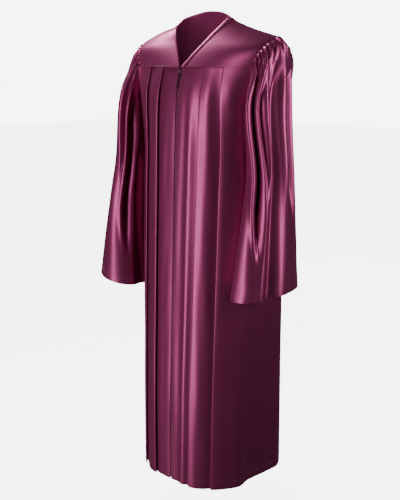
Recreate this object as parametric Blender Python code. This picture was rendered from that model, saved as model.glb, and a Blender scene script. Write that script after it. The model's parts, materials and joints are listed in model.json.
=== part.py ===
"""A graduation gown with no one in it, holding the form it has when it is worn.

Metres, +Z up. The gown faces -Y and its wearer's left is +X. The origin is at the middle of the
neck, level with the top of the left shoulder seam, where the shoulders carry the gown.
Each piece that a maker cuts and sews is one thin closed wall, parted from the next at its seams.
"""
import math
from collections import namedtuple

import bmesh
import bpy
import numpy as np
from mathutils import Matrix

# Driving sizes
CLOTH = 0.0012            # thickness of every cloth wall
SEAM_GAP = 0.0003         # room between two pieces at a seam
SEAM_HEIGHT = -0.130      # the yoke seam, all round
UNDERARM = -0.310
HEM = -1.300
FLATTEN = 0.85            # under 1 makes the body's section a little squarer than an ellipse

# The body of the gown: half width, and depth in front of and behind its own centre line
BodyRow = namedtuple("BodyRow", "height half_width front back")
BODY_CENTRE_Y = 0.045
BODY_ROWS = (
    BodyRow(-0.130, 0.244, 0.133, 0.112),
    BodyRow(-0.165, 0.236, 0.141, 0.118),
    BodyRow(-0.241, 0.212, 0.150, 0.130),
    BodyRow(-0.310, 0.197, 0.154, 0.138),
    BodyRow(-0.481, 0.197, 0.160, 0.153),
    BodyRow(-0.760, 0.196, 0.170, 0.166),
    BodyRow(-1.056, 0.195, 0.180, 0.174),
    BodyRow(-1.300, 0.196, 0.183, 0.178),
)

# Where the panels end at the armhole, in degrees round the body from the centre front
ArmholeRow = namedtuple("ArmholeRow", "height front_angle back_angle")
ARMHOLE_ROWS = (
    ArmholeRow(-0.130, 52.0, 128.0),
    ArmholeRow(-0.165, 54.5, 125.5),
    ArmholeRow(-0.200, 59.0, 121.0),
    ArmholeRow(-0.250, 69.0, 111.0),
    ArmholeRow(-0.290, 80.0, 100.0),
    ArmholeRow(-0.303, 85.5, 94.5),
    ArmholeRow(-0.310, 90.0, 90.0),
)
PANEL_HEIGHTS = (-0.130, -0.165, -0.205, -0.250, -0.284, -0.303, -0.310, -0.400, -0.530,
                 -0.700, -0.880, -1.060, -1.300)

# Knife pleats: distance from the centre line at the yoke and at the hem, hidden ply and step
Pleat = namedtuple("Pleat", "at_yoke at_hem underlay rise")
FRONT_PLEATS = {
    "left": (Pleat(0.080, 0.066, 0.014, 0.0085), Pleat(0.1345, 0.127, 0.014, 0.0075)),
    "right": (Pleat(0.066, 0.056, 0.014, 0.0085), Pleat(0.1240, 0.118, 0.014, 0.0075)),
}
BACK_PLEATS = (Pleat(0.060, 0.064, 0.014, 0.0080), Pleat(0.125, 0.134, 0.014, 0.0080))
PRESSED_RISE = 0.0044     # step of a pleat where the yoke seam presses it flat
PRESS_LENGTH = 0.09       # it opens to its full step over this length
MIDDLE_PLY = 0.50         # the hidden ply lies at this share of the step
PLY_MARGIN = 0.003        # a panel stays up this far past its hidden ply
PANEL_BOW = 0.0016        # each panel bows out between its pleats
PANEL_STOPS = (0.06, 0.22, 0.46, 0.70, 0.90)
PANEL_SETTLED = 0.95      # share of a panel by which it has come down to its base

# Soft flutes that open towards the hem, with a broad hollow down each side: angle round the
# body, depth and half width in degrees
Flute = namedtuple("Flute", "angle depth half_angle")
FLUTES = (Flute(67.0, 0.0045, 7.0), Flute(85.0, -0.0220, 28.0), Flute(97.0, 0.0045, 8.0),
          Flute(126.0, 0.0030, 12.0), Flute(158.0, 0.0040, 11.0))
FLUTE_START = -0.55

# Centre front opening: half of the gap between the two front edges
GapRow = namedtuple("GapRow", "height half_gap")
GAP_ROWS = (GapRow(-0.130, 0.0042), GapRow(-0.152, 0.0042), GapRow(-0.175, 0.0022),
            GapRow(-1.300, 0.0022))

# Yokes, given for the wearer's left side
NECK_HALF_WIDTH = 0.0927
ARMHOLE_BEND_FRONT = (0.2160, -0.0300, -0.0900)
ARMHOLE_BEND_BACK = (0.2230, 0.0820, -0.0900)
SHOULDER_TIP = (0.2343, 0.0217)
NeckPoint = namedtuple("NeckPoint", "half_width y height")
NECK_V = (NeckPoint(0.0730, -0.0250, -0.0328), NeckPoint(0.0485, -0.0490, -0.0670),
          NeckPoint(0.0267, -0.0670, -0.0955))
BACK_NECK = (0.0, 0.0470, 0.0168)
BACK_MIDDLE = (0.0, 0.1180, -0.0480)
FRONT_CROWN = 0.0050
BACK_CROWN = 0.0030
FRONT_STOPS = (0.0, 0.10, 0.22, 0.36, 0.50, 0.64, 0.76, 0.88, 1.0)
BACK_STOPS = (0.0, 0.11, 0.22, 0.32, 0.42, 0.54, 0.66, 0.78, 0.89, 1.0)
YOKE_COLUMNS = 7
NECK_BAND = 0.0095        # width of the stitched edge round the neck
BAND_INSETS = (NECK_BAND * 0.25, NECK_BAND * 0.62, NECK_BAND)
BAND_LIFT = CLOTH + SEAM_GAP
# The neck band's section: distance in from the neck edge, and lift off the yoke's middle
BandPoint = namedtuple("BandPoint", "inset lift")
BAND_SECTION = (
    BandPoint(BAND_INSETS[2], BAND_LIFT), BandPoint(BAND_INSETS[1], BAND_LIFT + 0.0003),
    BandPoint(BAND_INSETS[0], BAND_LIFT + 0.0003), BandPoint(0.0, BAND_LIFT),
    BandPoint(-0.0016, 0.0008), BandPoint(-0.0016, -0.0008), BandPoint(0.0, -BAND_LIFT),
    BandPoint(BAND_INSETS[0], -BAND_LIFT),
)

# Sleeves: centre line out and forward of the middle, and half sizes, down the length
SleeveLevel = namedtuple("SleeveLevel", "height out y half_out half_front")
HEAD_LEVELS = (
    SleeveLevel(-0.060, 0.229, 0.018, 0.030, 0.058),
    SleeveLevel(-0.130, 0.225, 0.012, 0.029, 0.070),
    SleeveLevel(-0.200, 0.228, -0.002, 0.031, 0.081),
    SleeveLevel(-0.410, 0.246, -0.013, 0.037, 0.080),
)
# Folds pressed into a sleeve: degrees round it from its outer side, forwards, top and cuff
Fold = namedtuple("Fold", "top_angle cuff_angle start finish depth half_angle")
BACK_FOLDS = (
    Fold(-34.0, -30.0, 0.03, 0.78, 0.0110, 13.0),
    Fold(-73.0, -66.0, 0.02, 0.92, 0.0110, 13.0),
    Fold(-107.0, -112.0, 0.24, 0.85, 0.0070, 12.0),
)
# The two sides: their sign along X, the shoulder seam's ends and sag, the neck line behind the
# shoulder, the highest place of the cuff and how much lower the cuff hangs across from it
Side = namedtuple("Side", "name sign neck_height tip_height sag neck_back cuff cuff_drop levels "
                          "folds")
LEFT = Side("left", 1, -0.004, -0.0535, 0.0035, (
    NeckPoint(0.0880, 0.0200, -0.0080), NeckPoint(0.0630, 0.0380, 0.0020),
    NeckPoint(0.0310, 0.0460, 0.0125),
), -0.701, 0.014, HEAD_LEVELS + (
    SleeveLevel(-0.490, 0.250, -0.020, 0.039, 0.092),
    SleeveLevel(-0.700, 0.263, -0.048, 0.059, 0.113),
), BACK_FOLDS + (
    Fold(72.0, 38.0, 0.02, 0.89, 0.0210, 12.0),
    Fold(47.0, 34.0, 0.22, 0.67, 0.0120, 8.0),
    Fold(52.0, 50.0, 0.01, 0.21, 0.0070, 7.0),
    Fold(28.0, 27.0, 0.00, 0.28, 0.0070, 8.0),
    Fold(4.0, 20.0, 0.10, 1.00, 0.0150, 14.0),
    Fold(150.0, 140.0, 0.30, 1.00, 0.0060, 15.0),
))
RIGHT = Side("right", -1, -0.020, -0.0545, -0.0030, (
    NeckPoint(0.0870, 0.0200, -0.0020), NeckPoint(0.0620, 0.0390, 0.0100),
    NeckPoint(0.0310, 0.0460, 0.0165),
), -0.732, 0.042, HEAD_LEVELS + (
    SleeveLevel(-0.500, 0.254, -0.018, 0.042, 0.090),
    SleeveLevel(-0.750, 0.298, 0.010, 0.078, 0.110),
), BACK_FOLDS + (
    Fold(134.0, 141.0, 0.03, 0.90, 0.0150, 10.0),
    Fold(103.0, 108.0, 0.02, 0.55, 0.0110, 11.0),
    Fold(74.0, 70.0, 0.02, 0.35, 0.0070, 9.0),
    Fold(160.0, 164.0, 0.20, 1.00, 0.0090, 10.0),
    Fold(40.0, 36.0, 0.04, 0.80, 0.0080, 13.0),
    Fold(6.0, 12.0, 0.03, 0.94, 0.0100, 14.0),
))
HIGHEST_TURN = -20.0      # the cuff is highest here, in degrees forwards from its outer side
SLEEVE_COLUMNS = 96
HEAD_COLUMNS = 32         # columns from the shoulder tip to each end of the yoke
HEAD_GATHERS = 8          # gathers on each of those two stretches
GATHER_DEPTH = 0.0022
GATHER_SHARE = 0.26       # the gathers die out over this share of the sleeve
SLEEVE_STOPS = (0.022, 0.050, 0.090, 0.150, 0.230, 0.330, 0.450, 0.600, 0.780, 1.000)
CAP_SHARE = 0.10          # the sleeve turns from the armhole to its own section over this share
UNDERARM_SHARE = 0.16     # and over this much more on its inner side
HANG_TURNS = (-12.0, 112.0, 205.0, 262.0, 348.0)   # at the tip, yoke, underarm, yoke, tip
SLEEVE_LEAD = 0.0050      # cloth that leaves the armhole seam before the sleeve turns down
SEAM_MARGIN = 0.0003      # more room at the armhole seam, where the cloth's edges tilt
FOLD_OPENING = 0.12       # a fold grows and dies out over these shares of the sleeve
FOLD_CLOSING = 0.30
FOLD_ROOM = 0.45          # folds start at this share of their depth, where the sleeve is narrow
FOLD_ROOM_SHARE = 0.30    # and have all of it from here on
NORMAL_SOFTENING = 3      # passes that even out the ways out round an armhole
LEAN_SOFTENING = 12
BODY_CLEARANCE = 0.0050
PLEAT_CLEARANCE = 0.0095  # more room towards the front and back, over the pleats

# Zip
TAPE_HALF_WIDTH = 0.013
TAPE_INNER = 0.0025       # where the tape meets the two front edges
TAPE_TOP = -0.136
TAPE_BOTTOM = -1.285
TAPE_SETBACK = 0.0017     # tape middle behind the middle of the front panels
SLIDER = (0.0064, 0.0036, 0.0090)
SLIDER_HEIGHT = -0.1450
SLIDER_LIFT = 0.0010      # slider's middle in front of the middle of the front panels
SLIDER_ROUNDING = 0.0007
BAIL_OUTER = 0.0024
BAIL_INNER = 0.0013
BAIL_WIDTH = 0.0016
BAIL_STANDOFF = 0.0017    # eye of the bail in front of the slider's face
BAIL_HEIGHT = 0.0010      # and above the slider's middle
TAB_WIDTH = 0.0048
TAB_THICKNESS = 0.0010
TAB_LENGTH = 0.0440
TAB_WINDOW = (0.0025, 0.0024)
TAB_ROUNDING = 0.0006
TAB_LEAN_LENGTH = 0.045

SATIN = ("satin_maroon", (0.23, 0.035, 0.105), 0.32, 0.0)
ZIP_CLOTH = ("zip_tape_maroon", (0.10, 0.012, 0.045), 0.70, 0.0)
ZIP_METAL = ("zip_metal_maroon", (0.13, 0.02, 0.06), 0.35, 0.6)


def clear_scene():
    for old in list(bpy.data.objects):
        bpy.data.objects.remove(old, do_unlink=True)


def finish(obj, look):
    """Gives an object one plain material of its own."""
    name, colour, roughness, metallic = look
    material = bpy.data.materials.new(obj.name + "_" + name)
    material.use_nodes = True
    shader = material.node_tree.nodes["Principled BSDF"]
    shader.inputs["Base Color"].default_value = (*colour, 1.0)
    shader.inputs["Roughness"].default_value = roughness
    shader.inputs["Metallic"].default_value = metallic
    obj.data.materials.append(material)
    return obj


def ease(share):
    share = min(max(share, 0.0), 1.0)
    return share * share * (3.0 - 2.0 * share)


def unit(vector):
    return vector / np.linalg.norm(vector)


def column(rows, name, height):
    """Reads one column of a table at a height, on a smooth curve through its rows."""
    heights = np.array([-row.height for row in rows])
    values = np.array([getattr(row, name) for row in rows])
    slopes = np.gradient(values, heights)
    at = min(max(-height, heights[0]), heights[-1])
    k = min(max(int(np.searchsorted(heights, at)) - 1, 0), len(rows) - 2)
    span = heights[k + 1] - heights[k]
    t = (at - heights[k]) / span
    start = values[k] * (1 + 2 * t) * (1 - t) ** 2 + slopes[k] * span * t * (1 - t) ** 2
    end = values[k + 1] * t * t * (3 - 2 * t) + slopes[k + 1] * span * t * t * (t - 1)
    return start + end


def half_gap(height):
    """Half of the gap between the two front edges at a height."""
    return float(np.interp(-height, [-row.height for row in GAP_ROWS],
                           [row.half_gap for row in GAP_ROWS]))


def curve_through(points, share):
    """A point on a smooth curve through a few points, at a share of its length."""
    points = np.array(points, dtype=float)
    steps = np.linalg.norm(np.diff(points, axis=0), axis=1)
    along = np.concatenate([[0.0], np.cumsum(steps)])
    slopes = np.gradient(points, along, axis=0)
    at = share * along[-1]
    k = min(max(int(np.searchsorted(along, at)) - 1, 0), len(points) - 2)
    span = along[k + 1] - along[k]
    t = (at - along[k]) / span
    start = points[k] * (1 + 2 * t) * (1 - t) ** 2 + slopes[k] * span * t * (1 - t) ** 2
    end = points[k + 1] * t * t * (3 - 2 * t) + slopes[k + 1] * span * t * t * (t - 1)
    return start + end


def cloth_object(name, middles, reaches, look, ring=False):
    """Makes a closed wall from a grid of points in the middle of the cloth.

    reaches holds, for each point, the way out through the cloth. A ring grid joins its last
    column to its first.
    """
    middles = np.array(middles, dtype=float)
    reaches = np.array(reaches, dtype=float)
    row_count, column_count = middles.shape[:2]
    outer = (middles + reaches * CLOTH / 2).reshape(-1, 3)
    inner = (middles - reaches * CLOTH / 2).reshape(-1, 3)
    offset = row_count * column_count
    faces = []
    last = column_count if ring else column_count - 1

    def at(row, col):
        return row * column_count + col % column_count

    for row in range(row_count - 1):
        for col in range(last):
            quad = (at(row, col), at(row, col + 1), at(row + 1, col + 1), at(row + 1, col))
            faces.append(quad)
            faces.append(tuple(offset + corner for corner in reversed(quad)))
    for col in range(last):
        top, top_next = at(0, col), at(0, col + 1)
        faces.append((top_next, top, offset + top, offset + top_next))
        low, low_next = at(row_count - 1, col), at(row_count - 1, col + 1)
        faces.append((low, low_next, offset + low_next, offset + low))
    if not ring:
        for row in range(row_count - 1):
            near, near_next = at(row, 0), at(row + 1, 0)
            faces.append((near, near_next, offset + near_next, offset + near))
            far = at(row, column_count - 1)
            far_next = at(row + 1, column_count - 1)
            faces.append((far_next, far, offset + far, offset + far_next))
    mesh = bpy.data.meshes.new(name)
    mesh.from_pydata([tuple(point) for point in np.concatenate([outer, inner])], [], faces)
    return solid_object(name, mesh, look)


def solid_object(name, mesh, look):
    """Turns a mesh's faces outwards, shades it smooth and links it as an object."""
    work = bmesh.new()
    work.from_mesh(mesh)
    if work.calc_volume(signed=True) < 0:
        bmesh.ops.reverse_faces(work, faces=work.faces)
    work.to_mesh(mesh)
    work.free()
    mesh.shade_smooth()
    mesh.set_sharp_from_angle(angle=math.radians(50))
    obj = bpy.data.objects.new(name, mesh)
    bpy.context.collection.objects.link(obj)
    return finish(obj, look)


def grid_normals(points, ring=False):
    """Unit normals of a grid of points, one for each point."""
    points = np.array(points, dtype=float)
    down = np.gradient(points, axis=0)
    if ring:
        across = (np.roll(points, -1, axis=1) - np.roll(points, 1, axis=1)) / 2
    else:
        across = np.gradient(points, axis=1)
    normals = np.cross(across, down)
    return normals / np.linalg.norm(normals, axis=2, keepdims=True)


def outwards(points, normals):
    """Turns the normals so that they point away from the middle of the gown."""
    middle = np.array([0.0, BODY_CENTRE_Y, -0.30])
    if np.sum((np.array(points) - middle) * normals) < 0:
        return -normals
    return normals


class Section:
    """The body's outline at one height, for the wearer's left half, measured along the cloth."""

    SAMPLES = 721

    def __init__(self, height):
        self.height = height
        half_width = column(BODY_ROWS, "half_width", height)
        front = column(BODY_ROWS, "front", height)
        back = column(BODY_ROWS, "back", height)
        self.angles = np.linspace(0.0, 180.0, self.SAMPLES)
        sine = np.sin(np.radians(self.angles))
        cosine = np.cos(np.radians(self.angles))
        depth = np.where(cosine > 0, front, back)
        self.x = half_width * np.abs(sine) ** FLATTEN
        self.y = BODY_CENTRE_Y - depth * np.sign(cosine) * np.abs(cosine) ** FLATTEN
        steps = np.hypot(np.diff(self.x), np.diff(self.y))
        self.arc = np.concatenate([[0.0], np.cumsum(steps)])
        across = np.gradient(self.x, self.arc)
        along = np.gradient(self.y, self.arc)
        across[0], along[0] = 1.0, 0.0
        across[-1], along[-1] = -1.0, 0.0
        size = np.hypot(across, along)
        self.normal_x = along / size
        self.normal_y = -across / size

    def arc_at_angle(self, angle):
        return float(np.interp(angle, self.angles, self.arc))

    def arc_at_x(self, x, back=False):
        """How far along the cloth the front, or the back, is at a distance from the middle."""
        half = self.SAMPLES // 2 + 1
        if back:
            return float(np.interp(x, self.x[half - 1:][::-1], self.arc[half - 1:][::-1]))
        return float(np.interp(x, self.x[:half], self.arc[:half]))

    def place(self, arc, lift):
        """The point at a distance along the cloth, lifted off the outline."""
        x = np.interp(arc, self.arc, self.x) + lift * np.interp(arc, self.arc, self.normal_x)
        y = np.interp(arc, self.arc, self.y) + lift * np.interp(arc, self.arc, self.normal_y)
        return np.array([x, y, self.height])

    def normal(self, arc):
        out = np.array([np.interp(arc, self.arc, self.normal_x),
                        np.interp(arc, self.arc, self.normal_y), 0.0])
        return unit(out)

    def flute(self, arc):
        """Lift of the soft flutes, which grow towards the hem."""
        angle = float(np.interp(arc, self.arc, self.angles))
        grow = ease((FLUTE_START - self.height) / (FLUTE_START - HEM))
        lift = 0.0
        for flute in FLUTES:
            across = (angle - flute.angle) / flute.half_angle
            lift += flute.depth * grow * math.exp(-across * across)
        return lift


def pressed(height):
    """1 where the yoke seam presses the pleats flat, 0 where they are open."""
    return 1.0 - ease((SEAM_HEIGHT - height) / PRESS_LENGTH)


def settled(stop, hold):
    """How far a panel has come down to its base, past the part that lies on the hidden ply."""
    return ease((stop - hold) / (PANEL_SETTLED - hold))


def pleated_line(section, start, creases, end):
    """The cloth of one panel at one height, from the centre to the side.

    Returns a list of (distance along the outline, lift). Each crease is (distance, underlay,
    rise): the cloth runs on below the next panel, folds back, and folds again at the crease.
    """
    press = pressed(section.height)
    sunk = PRESSED_RISE * press
    line = [(start, -sunk)]
    left, left_lift, hold = start, -sunk, 0.0
    for distance, underlay, full_rise in creases:
        rise = full_rise + (PRESSED_RISE - full_rise) * press
        for stop in PANEL_STOPS:
            fall = left_lift + (-sunk - left_lift) * settled(stop, hold / (distance - left))
            bow = PANEL_BOW * 4 * stop * (1 - stop) * (1 - press)
            line.append((left + (distance - left) * stop, fall + bow))
        turn = distance + underlay
        line.append((turn, -sunk))
        line.append((turn, -sunk + rise * MIDDLE_PLY))
        line.append((distance, -sunk + rise * MIDDLE_PLY))
        line.append((distance, -sunk + rise))
        left, left_lift, hold = distance, -sunk + rise, underlay + PLY_MARGIN
    for stop in PANEL_STOPS + (1.0,):
        bow = PANEL_BOW * 4 * stop * (1 - stop) * (1 - press)
        fall = left_lift * (1 - settled(stop, hold / (end - left)))
        line.append((left + (end - left) * stop, fall + bow))
    return [(arc, lift + section.flute(arc)) for arc, lift in line]


def mitred(points, first_normal, last_normal):
    """Ways out of a level line of points, longer at its corners, with both ends given."""
    points = np.array(points)
    steps = np.diff(points, axis=0)
    steps = steps / np.linalg.norm(steps, axis=1, keepdims=True)
    sides = np.stack([steps[:, 1], -steps[:, 0], np.zeros(len(steps))], axis=1)
    ways = [first_normal]
    for before, after in zip(sides[:-1], sides[1:]):
        total = before + after
        ways.append(total / max(1.0 + float(np.dot(before, after)), 0.5))
    ways.append(last_normal)
    return np.array(ways)


def mirrored(points, sign):
    """Copies points or directions to the wearer's other side where sign is -1."""
    points = np.array(points, dtype=float)
    points[..., 0] *= sign
    return points


def side_angle(height, back):
    if height <= UNDERARM:
        return 90.0
    return column(ARMHOLE_ROWS, "back_angle" if back else "front_angle", height)


def pleat_x(pleat, height):
    share = (SEAM_HEIGHT - height) / (SEAM_HEIGHT - HEM)
    return pleat.at_yoke + (pleat.at_hem - pleat.at_yoke) * share


def front_rows(side):
    """Middle points and ways out of a front panel, from the yoke seam to the hem."""
    middles, reaches = [], []
    for height in PANEL_HEIGHTS:
        section = Section(height)
        start = section.arc_at_x(half_gap(height))
        end = section.arc_at_angle(side_angle(height, False)) - SEAM_GAP / 2
        creases = [(section.arc_at_x(pleat_x(pleat, height)), pleat.underlay, pleat.rise)
                   for pleat in FRONT_PLEATS[side.name]]
        line = pleated_line(section, start, creases, end)
        points = [section.place(arc, lift) for arc, lift in line]
        reaches.append(mitred(points, section.normal(start), section.normal(end)))
        middles.append(points)
    return mirrored(trimmed(middles), side.sign), mirrored(reaches, side.sign)


def trimmed(middles):
    """Lowers the top row of a panel by the seam's gap."""
    middles = np.array(middles)
    middles[0, :, 2] -= SEAM_GAP
    return middles


def back_rows():
    """Middle points and ways out of the back panel, from the left side round to the right."""
    middles, reaches = [], []
    for height in PANEL_HEIGHTS:
        section = Section(height)
        total = section.arc[-1]
        end = total - section.arc_at_angle(side_angle(height, True)) - SEAM_GAP / 2
        creases = [(total - section.arc_at_x(pleat_x(pleat, height), back=True), pleat.underlay,
                    pleat.rise) for pleat in BACK_PLEATS]
        half = pleated_line(BackView(section), 0.0, creases, end)
        points = [section.place(total - arc, lift) for arc, lift in half]
        ways = -mitred(points, -section.normal(total), -section.normal(total - end))
        right = mirrored(points, -1)
        right_ways = mirrored(ways, -1)
        middles.append(np.concatenate([np.array(points)[::-1], right[1:]]))
        reaches.append(np.concatenate([ways[::-1], right_ways[1:]]))
    return trimmed(middles), np.array(reaches)


class BackView:
    """A section measured from the centre back instead of the centre front."""

    def __init__(self, section):
        self.section = section
        self.height = section.height

    def flute(self, arc):
        return self.section.flute(self.section.arc[-1] - arc)


def shoulder_ends(side):
    neck = np.array([NECK_HALF_WIDTH, 0.0, side.neck_height])
    tip = np.array([*SHOULDER_TIP, side.tip_height])
    return neck, tip


def shoulder_curve(side, share):
    neck, tip = shoulder_ends(side)
    middle = (neck + tip) / 2 - np.array([0.0, 0.0, side.sag])
    return curve_through([neck, middle, tip], share)


class FrontYoke:
    """A front yoke as a surface: across from the neck, down from the shoulder to the seam."""

    CORNER = 1.0          # share of the far edge that lies along the armhole

    def __init__(self, side):
        self.side = side
        self.section = Section(SEAM_HEIGHT)
        self.start = self.section.arc_at_x(half_gap(SEAM_HEIGHT))
        self.end = self.section.arc_at_angle(side_angle(SEAM_HEIGHT, False))
        neck, tip = shoulder_ends(side)
        self.neck_line = [neck] + [np.array(point) for point in NECK_V]
        self.neck_line.append(self.section.place(self.start, 0.0))
        self.armhole_line = [tip, np.array(ARMHOLE_BEND_FRONT),
                             self.section.place(self.end, 0.0)]

    def top(self, across):
        return shoulder_curve(self.side, across)

    def bottom(self, across):
        return self.section.place(self.start + (self.end - self.start) * across, 0.0)

    def near(self, down):
        return curve_through(self.neck_line, down)

    def far(self, down):
        return curve_through(self.armhole_line, down)

    def crown(self, across, down):
        push = FRONT_CROWN * 4 * down * (1 - down) * (4 * across * (1 - across)) ** 0.5
        return push * np.array([0.0, -0.45, 0.89])


class BackYoke:
    """Half of the back yoke: across from the neck, down from the shoulder to the centre back."""

    CORNER = 0.42

    def __init__(self, side):
        self.side = side
        self.section = Section(SEAM_HEIGHT)
        total = self.section.arc[-1]
        self.middle = total
        self.end = self.section.arc_at_angle(side_angle(SEAM_HEIGHT, True))
        neck, tip = shoulder_ends(side)
        self.neck_line = [neck] + [np.array(point) for point in side.neck_back]
        self.neck_line.append(np.array(BACK_NECK))
        self.middle_line = [np.array(BACK_NECK), np.array(BACK_MIDDLE),
                            self.section.place(total, 0.0)]
        self.armhole_line = [tip, np.array(ARMHOLE_BEND_BACK),
                             self.section.place(self.end, 0.0)]

    def top(self, across):
        return shoulder_curve(self.side, across)

    def bottom(self, across):
        return curve_through(self.middle_line, across)

    def near(self, down):
        return curve_through(self.neck_line, down)

    def far(self, down):
        if down <= self.CORNER:
            return curve_through(self.armhole_line, down / self.CORNER)
        share = (down - self.CORNER) / (1 - self.CORNER)
        return self.section.place(self.end + (self.middle - self.end) * share, 0.0)

    def crown(self, across, down):
        push = BACK_CROWN * 4 * across * (1 - across) * math.sin(math.pi / 2 * down)
        return push * np.array([0.0, 0.6, 0.8])


def patch_point(patch, across, down):
    """Fills the four edges of a yoke with a smooth surface, bowed by its crown."""
    corners = ((1 - across) * (1 - down) * patch.top(0.0) + across * (1 - down) * patch.top(1.0)
               + (1 - across) * down * patch.bottom(0.0) + across * down * patch.bottom(1.0))
    edges = ((1 - down) * patch.top(across) + down * patch.bottom(across)
             + (1 - across) * patch.near(down) + across * patch.far(down))
    return edges - corners + patch.crown(across, down)


def level(direction):
    return unit(np.array([direction[0], direction[1], 0.0]))


def inset_share(patch, edge, down, inset):
    """How far across a yoke a place is that lies a given distance in from the neck edge."""
    low, high = 0.0, 0.30
    for _ in range(14):
        middle = (low + high) / 2
        spot = patch_point(patch, middle, down)
        if np.min(np.linalg.norm(edge - spot, axis=1)) < inset:
            low = middle
        else:
            high = middle
    return low


def yoke_grid(patch):
    """Rows of a yoke from the shoulder on, each running from the neck to the far edge.

    Returns the points with their ways out: level at the yoke seam, upright at the shoulder.
    """
    stops = FRONT_STOPS if patch.CORNER >= 1.0 else BACK_STOPS
    edge = np.array([patch.near(down) for down in np.linspace(0.0, 1.0, 150)])
    rows = []
    for down in stops:
        shares = [0.0] + [inset_share(patch, edge, down, inset) for inset in BAND_INSETS]
        shares += list(np.linspace(shares[-1], 1.0, YOKE_COLUMNS + 1)[1:])
        rows.append([patch_point(patch, across, down) for across in shares])
    points = np.array(rows)
    ways = outwards(points, grid_normals(points))
    if patch.CORNER >= 1.0:
        ways[-1] = [level(way) for way in ways[-1]]
    else:
        for row, down in enumerate(stops):
            if down >= patch.CORNER:
                ways[row, -1] = patch.section.normal(patch.section.arc_at_x(
                    points[row, -1, 0], back=True))
        ways[-1, :, 0] = 0.0
        ways[-1] = [unit(way) for way in ways[-1]]
    neck, tip = shoulder_ends(patch.side)
    ridge = unit(np.cross(np.cross(tip - neck, np.array([0.0, 0.0, 1.0])), tip - neck))
    ways[0] = ridge if ridge[2] > 0 else -ridge
    return points, ways


def parted(points, direction):
    """Moves the shoulder seam's row off the seam by half of the gap."""
    points = points.copy()
    points[0, :, 1] += direction * SEAM_GAP / 2
    return points


def build_front_yoke(side, grid):
    points, ways = grid
    return cloth_object("yoke_front_" + side.name, mirrored(parted(points, -1), side.sign),
                        mirrored(ways, side.sign), SATIN)


def build_back_yoke(grids):
    right, right_ways = grids["right"]
    left, left_ways = grids["left"]
    points = np.concatenate([mirrored(parted(right, 1), -1), parted(left, 1)[::-1][1:]])
    ways = np.concatenate([mirrored(right_ways, -1), left_ways[::-1][1:]])
    return cloth_object("yoke_back", points, ways, SATIN)


def band_rows(points, ways):
    """Section of the neck band on each row of a yoke grid."""
    middles, reaches = [], []
    flat = np.array([(place.inset, place.lift, 0.0) for place in BAND_SECTION])
    turned = mitred(flat, np.array([0.0, 1.0, 0.0]), np.array([0.0, -1.0, 0.0]))
    for line, line_ways in zip(points, ways):
        inward = line[1] - line[0]
        inward = unit(inward - line_ways[0] * np.dot(inward, line_ways[0]))
        row, row_ways = [], []
        for place, turn in zip(BAND_SECTION, turned):
            if place.inset in BAND_INSETS:
                col = 1 + BAND_INSETS.index(place.inset)
                row.append(line[col] + line_ways[col] * place.lift)
                row_ways.append(inward * turn[0] + line_ways[col] * turn[1])
            else:
                row.append(line[0] + inward * place.inset + line_ways[0] * place.lift)
                row_ways.append(inward * turn[0] + line_ways[0] * turn[1])
        middles.append(row)
        reaches.append(row_ways)
    return np.array(middles), np.array(reaches)


def build_neck_band(front_grids, back_grids):
    """The narrow edge that is folded round the neck line and stitched down."""
    halves = []
    for side in (RIGHT, LEFT):
        front, front_ways = front_grids[side.name]
        back, back_ways = back_grids[side.name]
        points = np.concatenate([front[::-1], back[1:]])
        ways = np.concatenate([front_ways[::-1], back_ways[1:]])
        middles, reaches = band_rows(points, ways)
        reaches[0, :, 2] = 0.0
        middles[-1, :, 0] = 0.0
        reaches[-1, :, 0] = 0.0
        halves.append((mirrored(middles, side.sign), mirrored(reaches, side.sign)))
    middles = np.concatenate([halves[0][0], halves[1][0][::-1][1:]])
    reaches = np.concatenate([halves[0][1], halves[1][1][::-1][1:]])
    return cloth_object("neck_band", middles, reaches, SATIN)


class Armhole:
    """The seam line of one armhole, with the cloth's normals, from the tip forwards and round."""

    def __init__(self, front_grid, back_grid):
        back_rows_used = BACK_STOPS.index(BackYoke.CORNER) + 1
        back_points, back_ways = back_grid
        self.parts = [
            (front_grid[0][:, -1], front_grid[1][:, -1]),
            self.panel_edge(False),
            tuple(edge[::-1] for edge in self.panel_edge(True)),
            (back_points[:back_rows_used, -1][::-1], back_ways[:back_rows_used, -1][::-1]),
        ]
        loop = np.concatenate([part[0] for part in self.parts])
        self.centre = np.mean(loop, axis=0)

    def panel_edge(self, back):
        spots, ways = [], []
        for height in PANEL_HEIGHTS:
            if height < UNDERARM:
                break
            section = Section(height)
            arc = section.arc_at_angle(side_angle(height, back))
            spots.append(section.place(arc, 0.0))
            ways.append(section.normal(arc))
        return np.array(spots), np.array(ways)

    def at(self, part, share):
        """Point, normal and way into the hole on one of the four stretches."""
        spots, ways = self.parts[part]
        steps = np.linalg.norm(np.diff(spots, axis=0), axis=1)
        along = np.concatenate([[0.0], np.cumsum(steps)])
        where = share * along[-1]
        spot = np.array([np.interp(where, along, spots[:, k]) for k in range(3)])
        way = unit(np.array([np.interp(where, along, ways[:, k]) for k in range(3)]))
        step = 0.02 * along[-1]
        ahead = np.array([np.interp(min(where + step, along[-1]), along, spots[:, k])
                          for k in range(3)])
        behind = np.array([np.interp(max(where - step, 0.0), along, spots[:, k])
                           for k in range(3)])
        hole = unit(np.cross(unit(ahead - behind), way))
        if np.dot(hole, self.centre - spot) < 0:
            hole = -hole
        return spot, way, hole


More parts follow.
